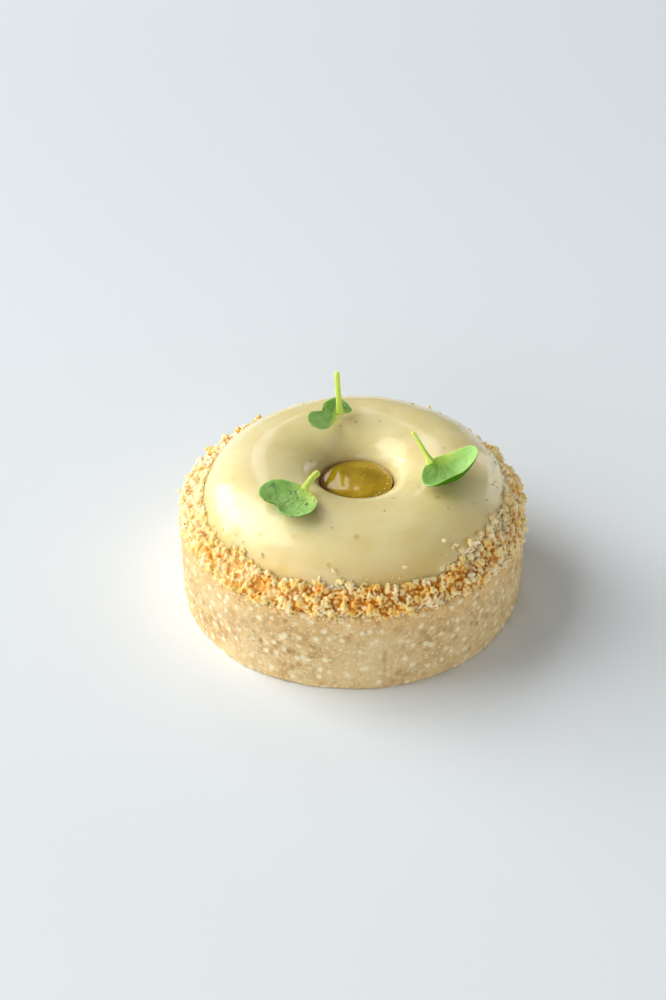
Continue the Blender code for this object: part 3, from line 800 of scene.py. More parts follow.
# %% Lime gel, its shape
GEL_STEPS = 200
GEL_CROWN = gel_high.z
GEL_EDGE = gel_high.z - 0.9 * MM
GEL_RIPPLES = [(5.0 * MM, 0.10), (2.0 * MM, 0.012)]


def dome_height(out):
    """Height of the gel's top by the share of the way out: the root of nearly one less its square."""
    return GEL_EDGE + (GEL_CROWN - GEL_EDGE) * np.sqrt(1.0 - 0.96 * out ** 2)


across_top = np.linspace(0.03, 1.0, 40)
edge_radius = float(inner_radius(GEL_EDGE)) - GAP
side_height = np.linspace(GEL_EDGE - 0.3 * MM, MOUSSE_BASE, 12)
gel_radius = np.concatenate([edge_radius * across_top, inner_radius(side_height) - GAP])
gel_height = np.concatenate([dome_height(across_top), side_height])
angle, radius, height = swept(gel_radius, gel_height, GEL_STEPS)
gel_points = turned(angle, radius, height, MOUSSE_X)
top = ease(height, GEL_EDGE - 0.2 * MM, GEL_EDGE)
gel_points[..., 2] += top * layered_noise(gel_points, GEL_RIPPLES, 61) * MM
gel_out = np.clip(radius / edge_radius, 0.0, 1.0)
# Painted light: a glow round the right of the gel's edge, for light the gel passes on; the left stays dark.
gel_clear = ease(gel_out * np.cos(angle - np.radians(20.0)), -0.5, 0.9)
print("gel edge at %.1f mm, crown at %.1f mm" % (GEL_EDGE / MM, GEL_CROWN / MM))

# %% [markdown]
# Clear gel could be made as glass, but little light would find its way down into the ring, and it
# would look black. So it is a wet skin over light that spreads a few millimetres. Two ambers are
# mottled over its middle, and near the wall the masks choose between painted shade and a painted
# glow of the light that passed through the gel.

# %% Lime gel, its material
AMBER_DEEP = (0.38, 0.23, 0.003)
AMBER_LIGHT = (0.60, 0.40, 0.012)
PAINTED_WALL_SHADE = (0.16, 0.065, 0.001)
PAINTED_WALL_GLOW = (0.55, 0.37, 0.02)

amber, tree, shader = new_material(
    "amber_gel", Roughness=0.1, Subsurface_Weight=0.7, Subsurface_Radius=(1.0, 0.6, 0.1),
    Subsurface_Scale=0.004, Specular_IOR_Level=0.15, Coat_Weight=1.0, Coat_Roughness=0.04, Coat_IOR=1.5)
at = place(tree)
middle_tone = mottled(tree, at, 160.0, 0.2, AMBER_DEEP, AMBER_LIGHT)
# Painted shade and painted glow in a ring near the wall.
painted_wall_tone = blend(tree, attribute(tree, "clear"), PAINTED_WALL_SHADE, PAINTED_WALL_GLOW)
painted_ring_share = between(tree, attribute(tree, "out"), 0.72, 0.96)
join(tree, shader.inputs["Base Color"], blend(tree, painted_ring_share, middle_tone, painted_wall_tone))
rough_skin(tree, shader, at, 330.0, 500.0, 0.15, strength=0.07, depth=0.0004)

gel_middle = (MOUSSE_X, 0.0, gel_points[0, :, 2].mean())
points, face_sets = closed_tube(gel_points, gel_middle, (MOUSSE_X, 0.0, MOUSSE_BASE))
gel = make_piece("gel_pool", points, face_sets, amber, "lime_gel",
                 out=np.concatenate([gel_out.ravel(), [0.0, 1.0]]),
                 clear=np.concatenate([gel_clear.ravel(), [0.5, 0.0]]))
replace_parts(gel, "lime_gel")

# %% [markdown]
# The crumble is a heap of baked crumbs, and each crumb is many small grains stuck together. Modelling
# every grain would be wasteful where nobody sees them, so a lumpy bank lies under them and fills the
# heap's inside. Its section is a wedge between the ring and the shell's rim, and its height follows
# the same kind of noise as the shell.

# %% Crumble, the bank under it
BANK_REACH = 39.0 * MM
BANK_INSET = 0.45 * MM
BANK_STEPS = 720
BANK_ROWS = 26
BANK_CORNERS = [(1.0, 0.0), (0.96, 1.0), (0.62, 2.5), (0.24, 3.7), (0.0, 4.2)]
BANK_UNDERSIDE = [(0.5, 0.0), (0.0, 0.0), (0.0, 2.0)]
LAST_CORNER = len(BANK_CORNERS) - 1
LUMP_LAYERS = [(3.0 * MM, 0.40), (1.3 * MM, 0.45), (0.7 * MM, 0.35)]
RAGGED_SHARE = 0.16


def bank_reach(angle):
    """Distance from the ring's axis to a circle about the shell's axis, the far root of a quadratic."""
    along = -MOUSSE_X * np.cos(angle)
    return along + np.sqrt(along ** 2 - MOUSSE_X ** 2 + BANK_REACH ** 2)


def bank_point(share, lift, angle):
    """A point of the bank's section. Share 0 lies a little inside the ring's skin, so that no dark
    slit shows between them, and 1 at the shell's rim."""
    height = MOUSSE_BASE + lift
    inner = outer_radius(height) - BANK_INSET
    return turned(angle, inner + share * (bank_reach(angle) - inner), height, MOUSSE_X)


corner_share, corner_lift = np.array(BANK_CORNERS).T
under_share, under_lift = np.array(BANK_UNDERSIDE).T
spot = np.linspace(LAST_CORNER, 0.0, BANK_ROWS)
share = np.concatenate([np.interp(spot, np.arange(LAST_CORNER + 1), corner_share), under_share])
lift = np.concatenate([np.interp(spot, np.arange(LAST_CORNER + 1), corner_lift), under_lift]) * MM
bank_angle = np.linspace(-np.pi, np.pi, BANK_STEPS, endpoint=False)
angle, share = np.meshgrid(bank_angle, share)
lift = np.broadcast_to(lift[:, None], angle.shape)
flat = bank_point(share, lift, angle)
showing = (share > 0.0) & (lift > 0.0)
lumps = layered_noise(flat, LUMP_LAYERS, 71) * MM * ease(lift, 0.0, 1.0 * MM)
ragged = RAGGED_SHARE * noise(flat, 1.6 * MM, 75) * ease(share, 0.6, 1.0)
bank_points = bank_point(share + ragged, lift + showing * lumps, angle)
bank_points[..., 2] = np.maximum(bank_points[..., 2], MOUSSE_BASE)
print("bank is at most %.1f mm over the shell" % ((bank_points[..., 2].max() - CRUST_HEIGHT) / MM))

# %% [markdown]
# One recipe makes two finishes: the heap's, which light passes through, and the loose grains'. Every
# point carries its own baking, from cream through gold to brown, and a share that is free of painted
# shade. Hollow points are painted redder and darker, a painted shade for the dark and the warm light
# that bounces between crumbs, and small pale crystals are dotted over everything.

# %% Crumble, its material
CRUMB_BROWN = (0.62, 0.22, 0.015)
CRUMB_TONES = ((0.15, (1.0, 0.77, 0.44)), (0.5, (1.0, 0.69, 0.27)), (0.78, (0.96, 0.53, 0.10)))
CRUMB_GOLD = (1.0, 0.66, 0.24)
CREVICE_SHADE = (0.68, 0.38, 0.01)
CRYSTAL = (1.0, 0.93, 0.78)


def paler_with_painted_light(angle):
    """Share of the baking that is left by direction: less at the right, and less at the left as painted
    light where the light falls.
    """
    return 1.0 - 0.45 * facing(angle, -5.0, 45.0) - 0.6 * facing(angle, 172.0, 45.0)


def crumb_material(name, palest, **inputs):
    """Baked crumb: a ramp by the baking, varied by mottling, and painted shade, darker and redder, in the
    hollows.
    """
    material, tree, shader = new_material(name, Roughness=0.75, Specular_IOR_Level=0.2, **inputs)
    at = place(tree)
    ramp = node(tree, "ValToRGB", Fac=attribute(tree, "bake"))
    ramp.color_ramp.elements[0].color = (*palest, 1.0)
    ramp.color_ramp.elements[1].color = (*CRUMB_BROWN, 1.0)
    for stop, tone in CRUMB_TONES:
        ramp.color_ramp.elements.new(stop).color = (*tone, 1.0)
    baked = ramp.outputs["Color"]
    colour = blend(tree, 0.6, mottled(tree, at, 900.0, 0.2, baked, CRUMB_GOLD, share=0.55), baked)
    # Painted shade: hollows are multiplied towards a deep orange brown.
    painted_shade_share = between(tree, attribute(tree, "open"), 0.0, 1.0, 1.0, 0.0)
    colour = tint(tree, painted_shade_share, 0.95, CREVICE_SHADE, colour, "MULTIPLY")
    join(tree, shader.inputs["Base Color"], dotted(tree, at, 240.0, 0.06, 0.17, 0.75, CRYSTAL, colour))
    rough_skin(tree, shader, at, 2600.0, 1900.0, 0.4, strength=0.5, depth=0.00012)
    return material


heap_finish = crumb_material("baked_heap", (1.0, 0.85, 0.62), Subsurface_Weight=1.0,
                             Subsurface_Radius=(1.0, 0.95, 0.85), Subsurface_Scale=0.001)
crumb_finish = crumb_material("baked_crumb", (0.97, 0.88, 0.56))
print("crumb finishes:", heap_finish.name, crumb_finish.name)

# %% [markdown]
# Now the grains. A spot on the heap is given by its direction round the tart and its share of the
# way from the shell's rim to the heap's upper edge, and that edge rises and falls as the crumbs
# happened to stick. Spots are drawn evenly and grow rare towards both edges. A few roll below the
# rim, and a few loose ones cling to the glaze above the heap.

# %% Crumble, where the grains lie
HEAP_EDGE = [(-165, 26.0), (-148, 27.7), (-138, 28.5), (-127, 26.6), (-118, 25.0), (-105, 27.2),
             (-96, 28.0), (-84, 26.5), (-78, 27.6), (-66, 27.2), (-60, 25.2), (-54, 28.3), (-40, 28.9),
             (-25, 30.0), (-5, 30.2), (12, 29.5), (35, 28.0), (70, 26.8), (105, 27.6), (140, 27.4),
             (165, 26.6)]
HEAP_START = MOUSSE_BASE + 3.4 * MM
HEAP_FRAY = 1.1 * MM
FRAY_SIZE = 0.09
BANK_SHARE = 0.66
SKIRT_SHARE = 1.2
SKIRT_LIFT = -0.9
SKIRT_SPOT = -0.25
heap_turn, heap_top = np.array(HEAP_EDGE).T


def heap_spot(angle, share):
    """A place on the heap: from just below the rim up the bank, over the first two thirds of the
    share, and then on up the ring's own side."""
    top = np.interp(np.degrees(angle), heap_turn, heap_top, period=360.0) * MM
    top = top + HEAP_FRAY * noise(turned(angle, 1.0, 0.0), FRAY_SIZE, 76)
    on_bank = np.clip(share / BANK_SHARE, SKIRT_SPOT, 1.0) * LAST_CORNER
    corners = np.arange(-1, LAST_CORNER + 1)
    bank = bank_point(np.interp(on_bank, corners, [SKIRT_SHARE, *corner_share]),
                      np.interp(on_bank, corners, [SKIRT_LIFT, *corner_lift]) * MM, angle)
    height = HEAP_START + (top - HEAP_START) * np.clip((share - 0.6) / 0.4, 0.0, 1.4)
    ring = turned(angle, outer_radius(height), height, MOUSSE_X)
    return np.where((share > BANK_SHARE)[:, None], ring, bank)


def heap_normal(angle, share):
    """The way out of the heap: the cross product of a small step round it and a small step up it."""
    up = heap_spot(angle, share + 0.02) - heap_spot(angle, share - 0.02)
    round_it = heap_spot(angle + 0.01, share) - heap_spot(angle - 0.01, share)
    normal = np.cross(round_it, up)
    return normal / np.linalg.norm(normal, axis=-1, keepdims=True)


def draw_spots(count, rng, top=1.0, thinning=0.75):
    """Directions and shares drawn evenly, thinned towards both edges of the heap."""
    angle = rng.uniform(-np.pi, np.pi, 4 * count)
    share = rng.uniform(-0.15, top, 4 * count)
    kept = 1.0 - thinning * ease(share, 0.7, 1.0) - 0.6 * ease(-share, 0.0, 0.1)
    keep = rng.uniform(0.0, 1.0, 4 * count) < kept
    return angle[keep][:count], share[keep][:count]


print("heap edge from %.1f to %.1f mm" % (heap_top.min(), heap_top.max()))

# %% [markdown]
# A grain is a ball of 42 triangles, squashed, turned and dented by its own numbers. All grains of a
# kind are worked out together as one array, so thousands of them take no longer to write than one.

# %% Grains, one shape for all of them
BALL_SIDES = 7
BALL_RINGS = np.radians((48.0, 90.0, 132.0))
RING_TWIST = 0.4


def unit_ball():
    """Points of a small ball: three rings of seven points, each turned a little further than the
    last, and two poles. And its triangles."""
    turn = np.arange(BALL_SIDES) * 2.0 * np.pi / BALL_SIDES
    rings = [turned(turn + RING_TWIST * number, np.sin(lean), np.cos(lean))
             for number, lean in enumerate(BALL_RINGS)]
    points, (quads, upper, lower) = closed_tube(np.stack(rings), (0.0, 0.0, 1.0), (0.0, 0.0, -1.0))
    return points, np.concatenate([quads[:, [0, 1, 2]], quads[:, [0, 2, 3]], upper, lower])


def repeated(triangles, corners, count):
    """The same triangles for each copy of a shape that has so many corners."""
    return (triangles + corners * np.arange(count)[:, None, None]).reshape(-1, 3)


def grains(middles, sizes, seed):
    """All grains as one set of points: the ball stretched along three axes, each corner pulled in or
    out, the whole turned at random, scaled and moved to its middle."""
    rng = np.random.default_rng(seed)
    ball, triangles = unit_ball()
    count = len(middles)
    turn, _ = np.linalg.qr(rng.normal(size=(count, 3, 3)))
    turn *= np.sign(np.linalg.det(turn))[:, None, None]
    shaped = ball * rng.uniform(0.68, 1.2, (count, 1, 3)) * rng.uniform(0.82, 1.12, (count, len(ball), 1))
    points = np.einsum("nij,nkj->nki", turn, shaped) * sizes[:, None, None] + middles[:, None, :]
    return points, repeated(triangles, len(ball), count)


print("a grain has %d corners" % len(unit_ball()[0]))

# %% [markdown]
# Real crumbs are clumps: a solid lump studded with the grains it is made of. So each clump gets one
# large ball as its core and smaller ones pressed into it all round, and between the clumps grains
# lie singly. Towards the heap's upper edge the clumps are smaller and sit deeper, so that the heap
# thins out into the glaze instead of ending in a step.

# %% Crumble, clumps and lone grains
CLUMP_GRAINS = 24
CORE_SHARE = 0.9
STUD_SIZES = (0.24, 0.44)
LONE_COUNT = 5000
LONE_SIZES = (0.20, 0.42)
SMALL_CLUMPS = (520, (0.45, 0.8))
LARGE_CLUMPS = (240, (0.8, 1.35))
RISES = ((17, 9, 1.5), (34, 7, 1.4), (128, 6, 1.4), (140, 5, 1.1), (156, 9, 1.3))


def proud(angle):
    """How far clumps stand out by direction, in mm: a few places where the heap rises over the rim."""
    return sum(rise * facing(angle, middle, width) for middle, width, rise in RISES)


def clump_grains(angle, share, reach, rng):
    """A core and its grains for each clump: the grains lie on the core's ball, stretched along three
    axes, and the ones that would be under the bank are lifted back out. Towards the heap's upper
    edge the reach is cut by up to a third, and the core is lifted out by less of it."""
    count = len(angle)
    upper = ease(share, 0.65, 1.0)
    outer = 1.0 - ease(share, 0.35, 0.65)
    reach = rng.uniform(*reach, count) * MM * (1.0 - 0.3 * upper)
    out = heap_normal(angle, share)
    lifted = (0.35 - 0.25 * upper) * reach + outer * proud(angle) * rng.uniform(0.0, 1.0, count) * MM
    core = heap_spot(angle, share) + out * lifted[:, None]
    away = rng.normal(size=(count, CLUMP_GRAINS, 3))
    away /= np.linalg.norm(away, axis=-1, keepdims=True)
    away *= rng.uniform(0.85, 1.1, (count, 1, 3)) * rng.uniform(0.86, 1.0, (count, CLUMP_GRAINS, 1))
    away *= reach[:, None, None]
    depth = np.sum(away * out[:, None, :], axis=-1, keepdims=True)
    away += out[:, None, :] * np.clip(-0.35 * reach[:, None, None] - depth, 0.0, None)
    middles = np.concatenate([(core[:, None, :] + away).reshape(-1, 3), core])
    studs = rng.uniform(*STUD_SIZES, count * CLUMP_GRAINS) * MM
    return middles, np.concatenate([studs, CORE_SHARE * reach])


def lone_grains(angle, share, rng):
    """Single grains, their middles a third of the radius out of the bank or a tenth out of the glaze."""
    size = rng.uniform(*LONE_SIZES, len(angle)) * MM
    raised = size * np.where(share > BANK_SHARE, 0.1, 0.35)
    return heap_spot(angle, share) + heap_normal(angle, share) * raised[:, None], size


rng = np.random.default_rng(81)
kinds = [lone_grains(*draw_spots(LONE_COUNT, rng, 1.12, 0.9), rng)]
for count, reach in (SMALL_CLUMPS, LARGE_CLUMPS):
    kinds.append(clump_grains(*draw_spots(count, rng), reach, rng))
crumb_middles = np.concatenate([middles for middles, sizes in kinds])
crumb_sizes = np.concatenate([sizes for middles, sizes in kinds])
print("%d grains and cores" % len(crumb_sizes))

# %% [markdown]
# Light passes through a crumb, which is why the gaps between crumbs glow orange instead of black. The
# renderer can only follow light inside one closed skin, so the bank, the clumps and the lone grains
# are merged: a grid of small cells is filled wherever any of them is, and what is filled gets a new
# skin. One skin round the whole tart would be heavy, so the heap is made in three sectors. Where a
# point lies against the mean of its surroundings tells the hollows from the tips, and the hollows get
# painted shade: less of it at the left and front left, as painted light through the heap, and less
# at the right.

# %% Crumble, one skin round many grains
VOXEL = 0.18 * MM
HOLLOW_ROUNDS = 22
HOLLOW_SPAN = (-0.10 * MM, 0.14 * MM)
MEAN_BAKE = 0.44
GOLDEN_BAKE = 0.14
BAKE_LAYERS = [(2.4 * MM, 0.50), (0.8 * MM, 0.34)]
SECTORS = {"crumble_front": -90.0, "crumble_right": 30.0, "crumble_left": 150.0}
SECTOR_HALF = 60.0


def merged_skin(points, face_sets):
    """Points, outward directions, faces and edges of one skin round shells that overlap."""
    draft = bpy.data.objects.new("draft", plain_mesh("draft", points, face_sets))
    bpy.context.scene.collection.objects.link(draft)
    merge = draft.modifiers.new("Merge", "REMESH")
    merge.mode = "VOXEL"
    merge.voxel_size = VOXEL
    skin = bpy.data.meshes.new_from_object(draft.evaluated_get(bpy.context.evaluated_depsgraph_get()))
    bpy.data.objects.remove(draft, do_unlink=True)
    places, ways = np.empty((2, len(skin.vertices) * 3))
    edges = np.empty(len(skin.edges) * 2, dtype=np.int64)
    faces = np.empty(len(skin.loops), dtype=np.int64)
    skin.vertices.foreach_get("co", places)
    skin.vertices.foreach_get("normal", ways)
    skin.edges.foreach_get("vertices", edges)
    skin.loops.foreach_get("vertex_index", faces)
    return places.reshape(-1, 3), ways.reshape(-1, 3), faces.reshape(-1, 4), edges.reshape(-1, 2)


def evened(values, edges, rounds):
    """Every value becomes the mean of its neighbours' values, round after round."""
    here, there = np.concatenate([edges, edges[:, ::-1]]).T
    count = np.bincount(here, minlength=len(values))
    for _ in range(rounds):
        sums = [np.bincount(here, column[there], len(column)) for column in values.T]
        values = np.stack([total / count for total in sums], axis=-1)
    return values


def bank_sector(middle):
    """The bank between two directions: its columns in order of turn, with a fan over both ends."""
    turn = turned_by(bank_angle, middle)
    order = np.argsort(turn)
    strip = bank_points[:, order[np.abs(turn[order]) < SECTOR_HALF + 1.0]].transpose(1, 0, 2)
    return closed_tube(strip, *strip[[0, -1]].mean(axis=1))


def crumb_bake(skin, angle):
    """Baking at each point: noise as large as a clump and as large as a grain, more at the golden
    place, and less at the right and, as painted light, at the left."""
    golden = GOLDEN_BAKE * facing(angle, GOLDEN_TURN, GOLDEN_WIDTH)
    bake = MEAN_BAKE + golden + layered_noise(skin, BAKE_LAYERS, 84)
    return np.clip(bake * paler_with_painted_light(angle), 0.0, 1.0)


def crumb_sector(name, middle, seed):
    """A merged sector of crumble. A point that lies under the mean of its surroundings gets painted shade.
    """
    points, face_sets = bank_sector(middle)
    turn = turned_by(np.arctan2(crumb_middles[:, 1], crumb_middles[:, 0] - MOUSSE_X), middle)
    inside = np.abs(turn) < SECTOR_HALF
    grain_points, triangles = grains(crumb_middles[inside], crumb_sizes[inside], seed)
    triangles = triangles + len(points)
    points = np.concatenate([points, grain_points.reshape(-1, 3)])
    skin, way_out, faces, edges = merged_skin(points, [*face_sets, triangles])
    hollow = np.sum((evened(skin, edges, HOLLOW_ROUNDS) - skin) * way_out, axis=-1)
    angle = np.arctan2(skin[:, 1], skin[:, 0] - MOUSSE_X)
    # Strength of the painted shade: less at the left and front left, as painted light through the heap, and
    # less at the right.
    shade = paler_with_painted_light(angle) * (1.0 - 0.5 * facing(angle, -155.0, 45.0))
    return make_piece(name, skin, [faces], heap_finish, "crumble", bake=crumb_bake(skin, angle),
                      open=1.0 - ease(hollow, *HOLLOW_SPAN) * shade)


for number, (name, middle) in enumerate(SECTORS.items()):
    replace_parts(crumb_sector(name, middle, 86 + number), "crumble_ring")

# %% [markdown]
# The heap has no clean lower edge. Grains roll over the shell's rounded rim and stick to the top of
# its wall, so a last scatter follows the rim: round its quarter circle first, and then down the wall,
# fewer and fewer.

# %% Grains on the shell's rim
RIM_GRAINS = 1200
RIM_SPREAD = 0.55
RIM_SIZES = (0.22, 0.55)
WALL_STEP = 1.1 * MM
QUARTER = np.pi / 2.0


def rim_grains(count, rng):
    """Places by turn and by how far over the rim: up to a quarter turn of its round, then down."""
    angle = rng.uniform(-np.pi, np.pi, count)
    over = np.abs(rng.normal(0.0, RIM_SPREAD, count)) * QUARTER
    lean = np.clip(over, 0.0, QUARTER)
    radius = CRUST_RIM_RADIUS - RIM_ROUND + RIM_ROUND * np.sin(lean) + rim_wave(angle)
    down_wall = WALL_STEP * np.clip(over - QUARTER, 0.0, None)
    height = CRUST_HEIGHT - RIM_ROUND * (1.0 - np.cos(lean)) - down_wall
    size = rng.uniform(*RIM_SIZES, count) * MM * (1.0 - 0.45 * lean / QUARTER)
    return turned(angle, radius, height), size, angle


rng = np.random.default_rng(141)
middles, sizes, angle = rim_grains(RIM_GRAINS, rng)
points, faces = grains(middles, sizes, 142)
# Less baking at the right, and at the left as painted light.
rim_bake = np.clip(rng.uniform(0.0, 0.55, RIM_GRAINS) * paler_with_painted_light(angle), 0.0, 1.0)
# Painted shade of random strength on each rim grain.
rim_open = rng.uniform(0.7, 1.0, RIM_GRAINS)
make_piece("rim_crumbs", points, [faces], crumb_finish, "crumble",
           bake=np.repeat(rim_bake, points.shape[1]), open=np.repeat(rim_open, points.shape[1]))

# %% [markdown]
# A few crumbs always land away from the heap. They lie on the glaze, some way up the ring's side, so
# each is given by its direction in degrees, its height and reach in mm, and its baking. The grain
# formula makes them.

# %% Stray crumbs on the glaze
STRAYS = [(-49, 29.7, 0.9, 0.0), (-53, 31.2, 0.4, 0.1), (-25, 29.2, 1.0, 0.05), (-36, 28.9, 0.7, 0.15),
          (-14, 27.6, 1.1, 0.5), (-5, 28.6, 0.8, 0.3), (-99, 29.0, 0.4, 0.1), (-72, 29.0, 0.5, 0.05),
          (-128, 28.4, 0.5, 0.0), (24, 29.2, 0.7, 0.3), (95, 29.0, 0.6, 0.2), (60, 28.6, 0.8, 0.25),
          (168, 28.0, 0.6, 0.1)]
STRAY_GRAINS = 9
STRAY_SPREAD = (0.5, 0.5, 0.35)


def stray_grains(per_clump, seed):
    """Grain middles in a flattened ball round each stray's place on the ring's outer side."""
    rng = np.random.default_rng(seed)
    turn, height, reach, bake = np.array(STRAYS).T
    height = height * MM
    middle = turned(np.radians(turn), outer_radius(height) + 0.12 * MM, height + 0.15 * MM, MOUSSE_X)
    away = rng.normal(size=(len(turn), per_clump, 3)) * STRAY_SPREAD * (reach * MM)[:, None, None]
    bakes = np.repeat(bake, per_clump) + rng.uniform(-0.05, 0.1, len(turn) * per_clump)
    return (middle[:, None, :] + away).reshape(-1, 3), bakes, rng.uniform(0.22, 0.45, len(bakes)) * MM


middles, bakes, sizes = stray_grains(STRAY_GRAINS, 95)
points, faces = grains(middles, sizes, 96)
make_piece("stray_crumbs", points, [faces], crumb_finish, "crumble",
           bake=np.repeat(np.clip(bakes, 0.0, 1.0), points.shape[1]), open=np.ones(points.shape[:2]))

# %% [markdown]
# Grated lime peel is mixed into the mousse, and small bits of it show through the glaze as olive
# flecks. They are grains sunk until only a sixth of a millimetre shows, scattered evenly over the
# top.

# %% Lime peel flecks
FLECK_COUNT = 16
FLECK_SHOWS = 0.16 * MM
FLECK_SIZES = (0.3, 0.75)
FLECK_RADII = (HOLE_RADIUS + 4.0 * MM, MOUSSE_FOOT_RADIUS - 2.5 * MM)
PEEL_OLIVE = (0.62, 0.54, 0.16)
PEEL_PALE = (0.76, 0.66, 0.26)

peel, tree, shader = new_material("lime_peel", Roughness=0.4, Coat_Weight=0.5, Coat_Roughness=0.15)
join(tree, shader.inputs["Base Color"], mottled(tree, place(tree), 700.0, 0.25, PEEL_OLIVE, PEEL_PALE))

rng = np.random.default_rng(121)
turn = rng.uniform(-np.pi, np.pi, FLECK_COUNT)
radius = np.sqrt(rng.uniform(FLECK_RADII[0] ** 2, FLECK_RADII[1] ** 2, FLECK_COUNT))
sizes = rng.uniform(*FLECK_SIZES, FLECK_COUNT) * MM
middles = turned(turn, radius, 0.0, MOUSSE_X)
middles[:, 2] = mousse_height(middles[:, 0], middles[:, 1])
middles[:, 2] -= sizes - FLECK_SHOWS - skin_ripples(middles - (MOUSSE_X, 0.0, 0.0))
points, faces = grains(middles, sizes, 122)
make_piece("peel_flecks", points, [faces], peel, "mousse_glaze")

# %% [markdown]
# Air caught in the gel rose to the top and stayed as beads, most of them along the front wall. Each
# bead is a small dome that stands a little out of the gel, in the same amber but thinner and lighter.

# %% Gel beads
WALL_BEADS = (-94, -83, -52, -44, -28, -12, 6, 20)
WALL_BEAD_OUT = 0.88
SMALL_BEADS = 26
BEAD_FLATNESS = (1.0, 1.0, 0.7)
BEAD_AMBER = (0.66, 0.48, 0.05)
BEAD_PALE = (0.80, 0.66, 0.16)

bead_finish, tree, shader = new_material("gel_bead", Roughness=0.08, Coat_Weight=1.0, Coat_Roughness=0.03)
join(tree, shader.inputs["Base Color"], mottled(tree, place(tree), 900.0, 0.25, BEAD_AMBER, BEAD_PALE))

rng = np.random.default_rng(131)
turn = np.concatenate([np.radians(WALL_BEADS), np.radians(rng.uniform(-110, 70, SMALL_BEADS))])
out = np.concatenate([np.full(len(WALL_BEADS), WALL_BEAD_OUT), rng.uniform(0.15, 0.9, SMALL_BEADS)])
wall_sizes = rng.uniform(0.28, 0.40, len(WALL_BEADS))
sizes = np.concatenate([wall_sizes, rng.uniform(0.10, 0.2, SMALL_BEADS)]) * MM
middles = turned(turn, out * edge_radius, dome_height(out), MOUSSE_X)
ball, triangles = unit_ball()
points = ball * BEAD_FLATNESS * sizes[:, None, None] + middles[:, None, :]
make_piece("gel_beads", points, [repeated(triangles, len(ball), len(turn))], bead_finish, "lime_gel")

# %% [markdown]
# Three sprigs of cress lie on the ring, each a heart shaped leaf or two on a juicy stem. A leaf is
# a square grid squeezed to a disc, which keeps its cells even to the edge. Length, width, the notch
# and the curls then stretch and bend the disc, and the veins are a mask over the same disc that
# also presses lines into the surface. Here are the numbers of each sprig, in mm and degrees.

# %% Cress, its leaves and stems in numbers
SPRIGS = {
    "sprig_left": {
        "leaves": [dict(root=(-8.95, -14.8, 36.1), heading=211, climb=-3.6, roll=0, length=11.3, width=14.6,
                        notch=2.0, cup=0.85, fold=0.4, tip_curl=1.6, shoulder=0.15, edge_curl=(1.15, 0.8),
                        skew=-0.11, belly=0.0, crumple=1.0)],
        "stem": dict(foot=(-10.8, -13.6, 36.7), tip=(-7.7, -7.8, 37.1), bow=(-0.05, -0.05, 0.5),
                     radius=(0.95, 0.64, 0.78))},
    "sprig_right": {
        "leaves": [dict(root=(19.5, -2.7, 37.4), heading=-66, climb=7.3, roll=1, length=11.4, width=14.3,
                        notch=-0.5, cup=1.7, fold=-0.2, tip_curl=1.6, shoulder=0.1, edge_curl=(-2.55, 1.8),
                        skew=-0.2, belly=2.3, crumple=0.2)],
        "stem": dict(foot=(17.9, -4.9, 37.4), tip=(13.4, -1.4, 44.0), bow=(-0.1, 0.25, 0.3),
                     radius=(1.35, 0.6, 0.36))},
    "sprig_back": {
        "leaves": [dict(root=(-3.3, 15.1, 36.05), heading=181, climb=34, roll=1, length=6.1, width=14.1,
                        notch=2.1, cup=0.1, fold=0.2, tip_curl=0.3, shoulder=-0.8, edge_curl=(1.0, -1.2),
                        skew=0.8, belly=0.5, crumple=0.3),
                   dict(root=(-2.2, 17.3, 36.9), heading=69, climb=14, roll=40, length=2.65, width=4.1,
                        notch=-0.15, cup=0.55, fold=0.25, tip_curl=-0.4, shoulder=0.6,
                        edge_curl=(-0.55, 0.7), skew=0.0, belly=0.0, crumple=0.2)],
        "stem": dict(foot=(-2.8, 17.1, 35.9), tip=(-3.5, 17.8, 47.4), bow=(0.0, 0.0, 0.0),
                     radius=(1.1, 0.68, 0.62))},
}
print("sprigs:", list(SPRIGS))

# %% [markdown]
# The disc has two coordinates: p runs from the stem's end at -1 to the tip at 1, and q from the
# right edge at -1 to the left at 1. Veins, creases and the leaf's form are all functions of the two.

# %% Cress leaves, their veins, creases and form
VEINS = ((0, 1.0), (22, 0.7), (-24, 0.7), (47, 0.6), (-45, 0.6), (72, 0.4), (-70, 0.4))
VEIN_WIDTH = 2.4
STEM_END = 1.02


def on_disc(p, q):
    """The disc's two coordinates as points, for the noises."""
    return np.stack([p, q, 0.0 * p], axis=-1)


def leaf_veins(p, q, seed):
    """Lines that fan from the stem: each is a bell curve in the turn about the stem's end, bent a
    little by noise, and fades before it meets the edge."""
    reach = np.hypot(p + STEM_END, q)
    turn = np.degrees(np.arctan2(q, p + STEM_END)) + 7.0 * noise(on_disc(p, q), 0.35, seed)
    total = np.zeros_like(p)
    for middle, strength in VEINS:
        total += strength * bell(turn, middle, VEIN_WIDTH / np.maximum(reach, 0.25))
    return np.clip(total, 0.0, 1.0) * (1.0 - ease(reach, 1.0, 1.75))


def leaf_creases(p, q, crumple, seed):
    """Sharp folds where the leaf was handled: thin lines where a noise is near nothing, strongest
    near the stem, and broken up by a second noise."""
    line = 1.0 - ease(np.abs(noise(on_disc(p, q), 0.22, seed + 5)), 0.02, 0.15)
    broken = ease(noise(on_disc(p, q), 0.16, seed + 6), -0.35, 0.2)
    near_stem = 0.55 + 1.1 * bell(np.hypot(p + 0.6, q + 0.05), 0.0, 0.5)
    return crumple * np.clip(line * broken * near_stem, 0.0, 1.0)


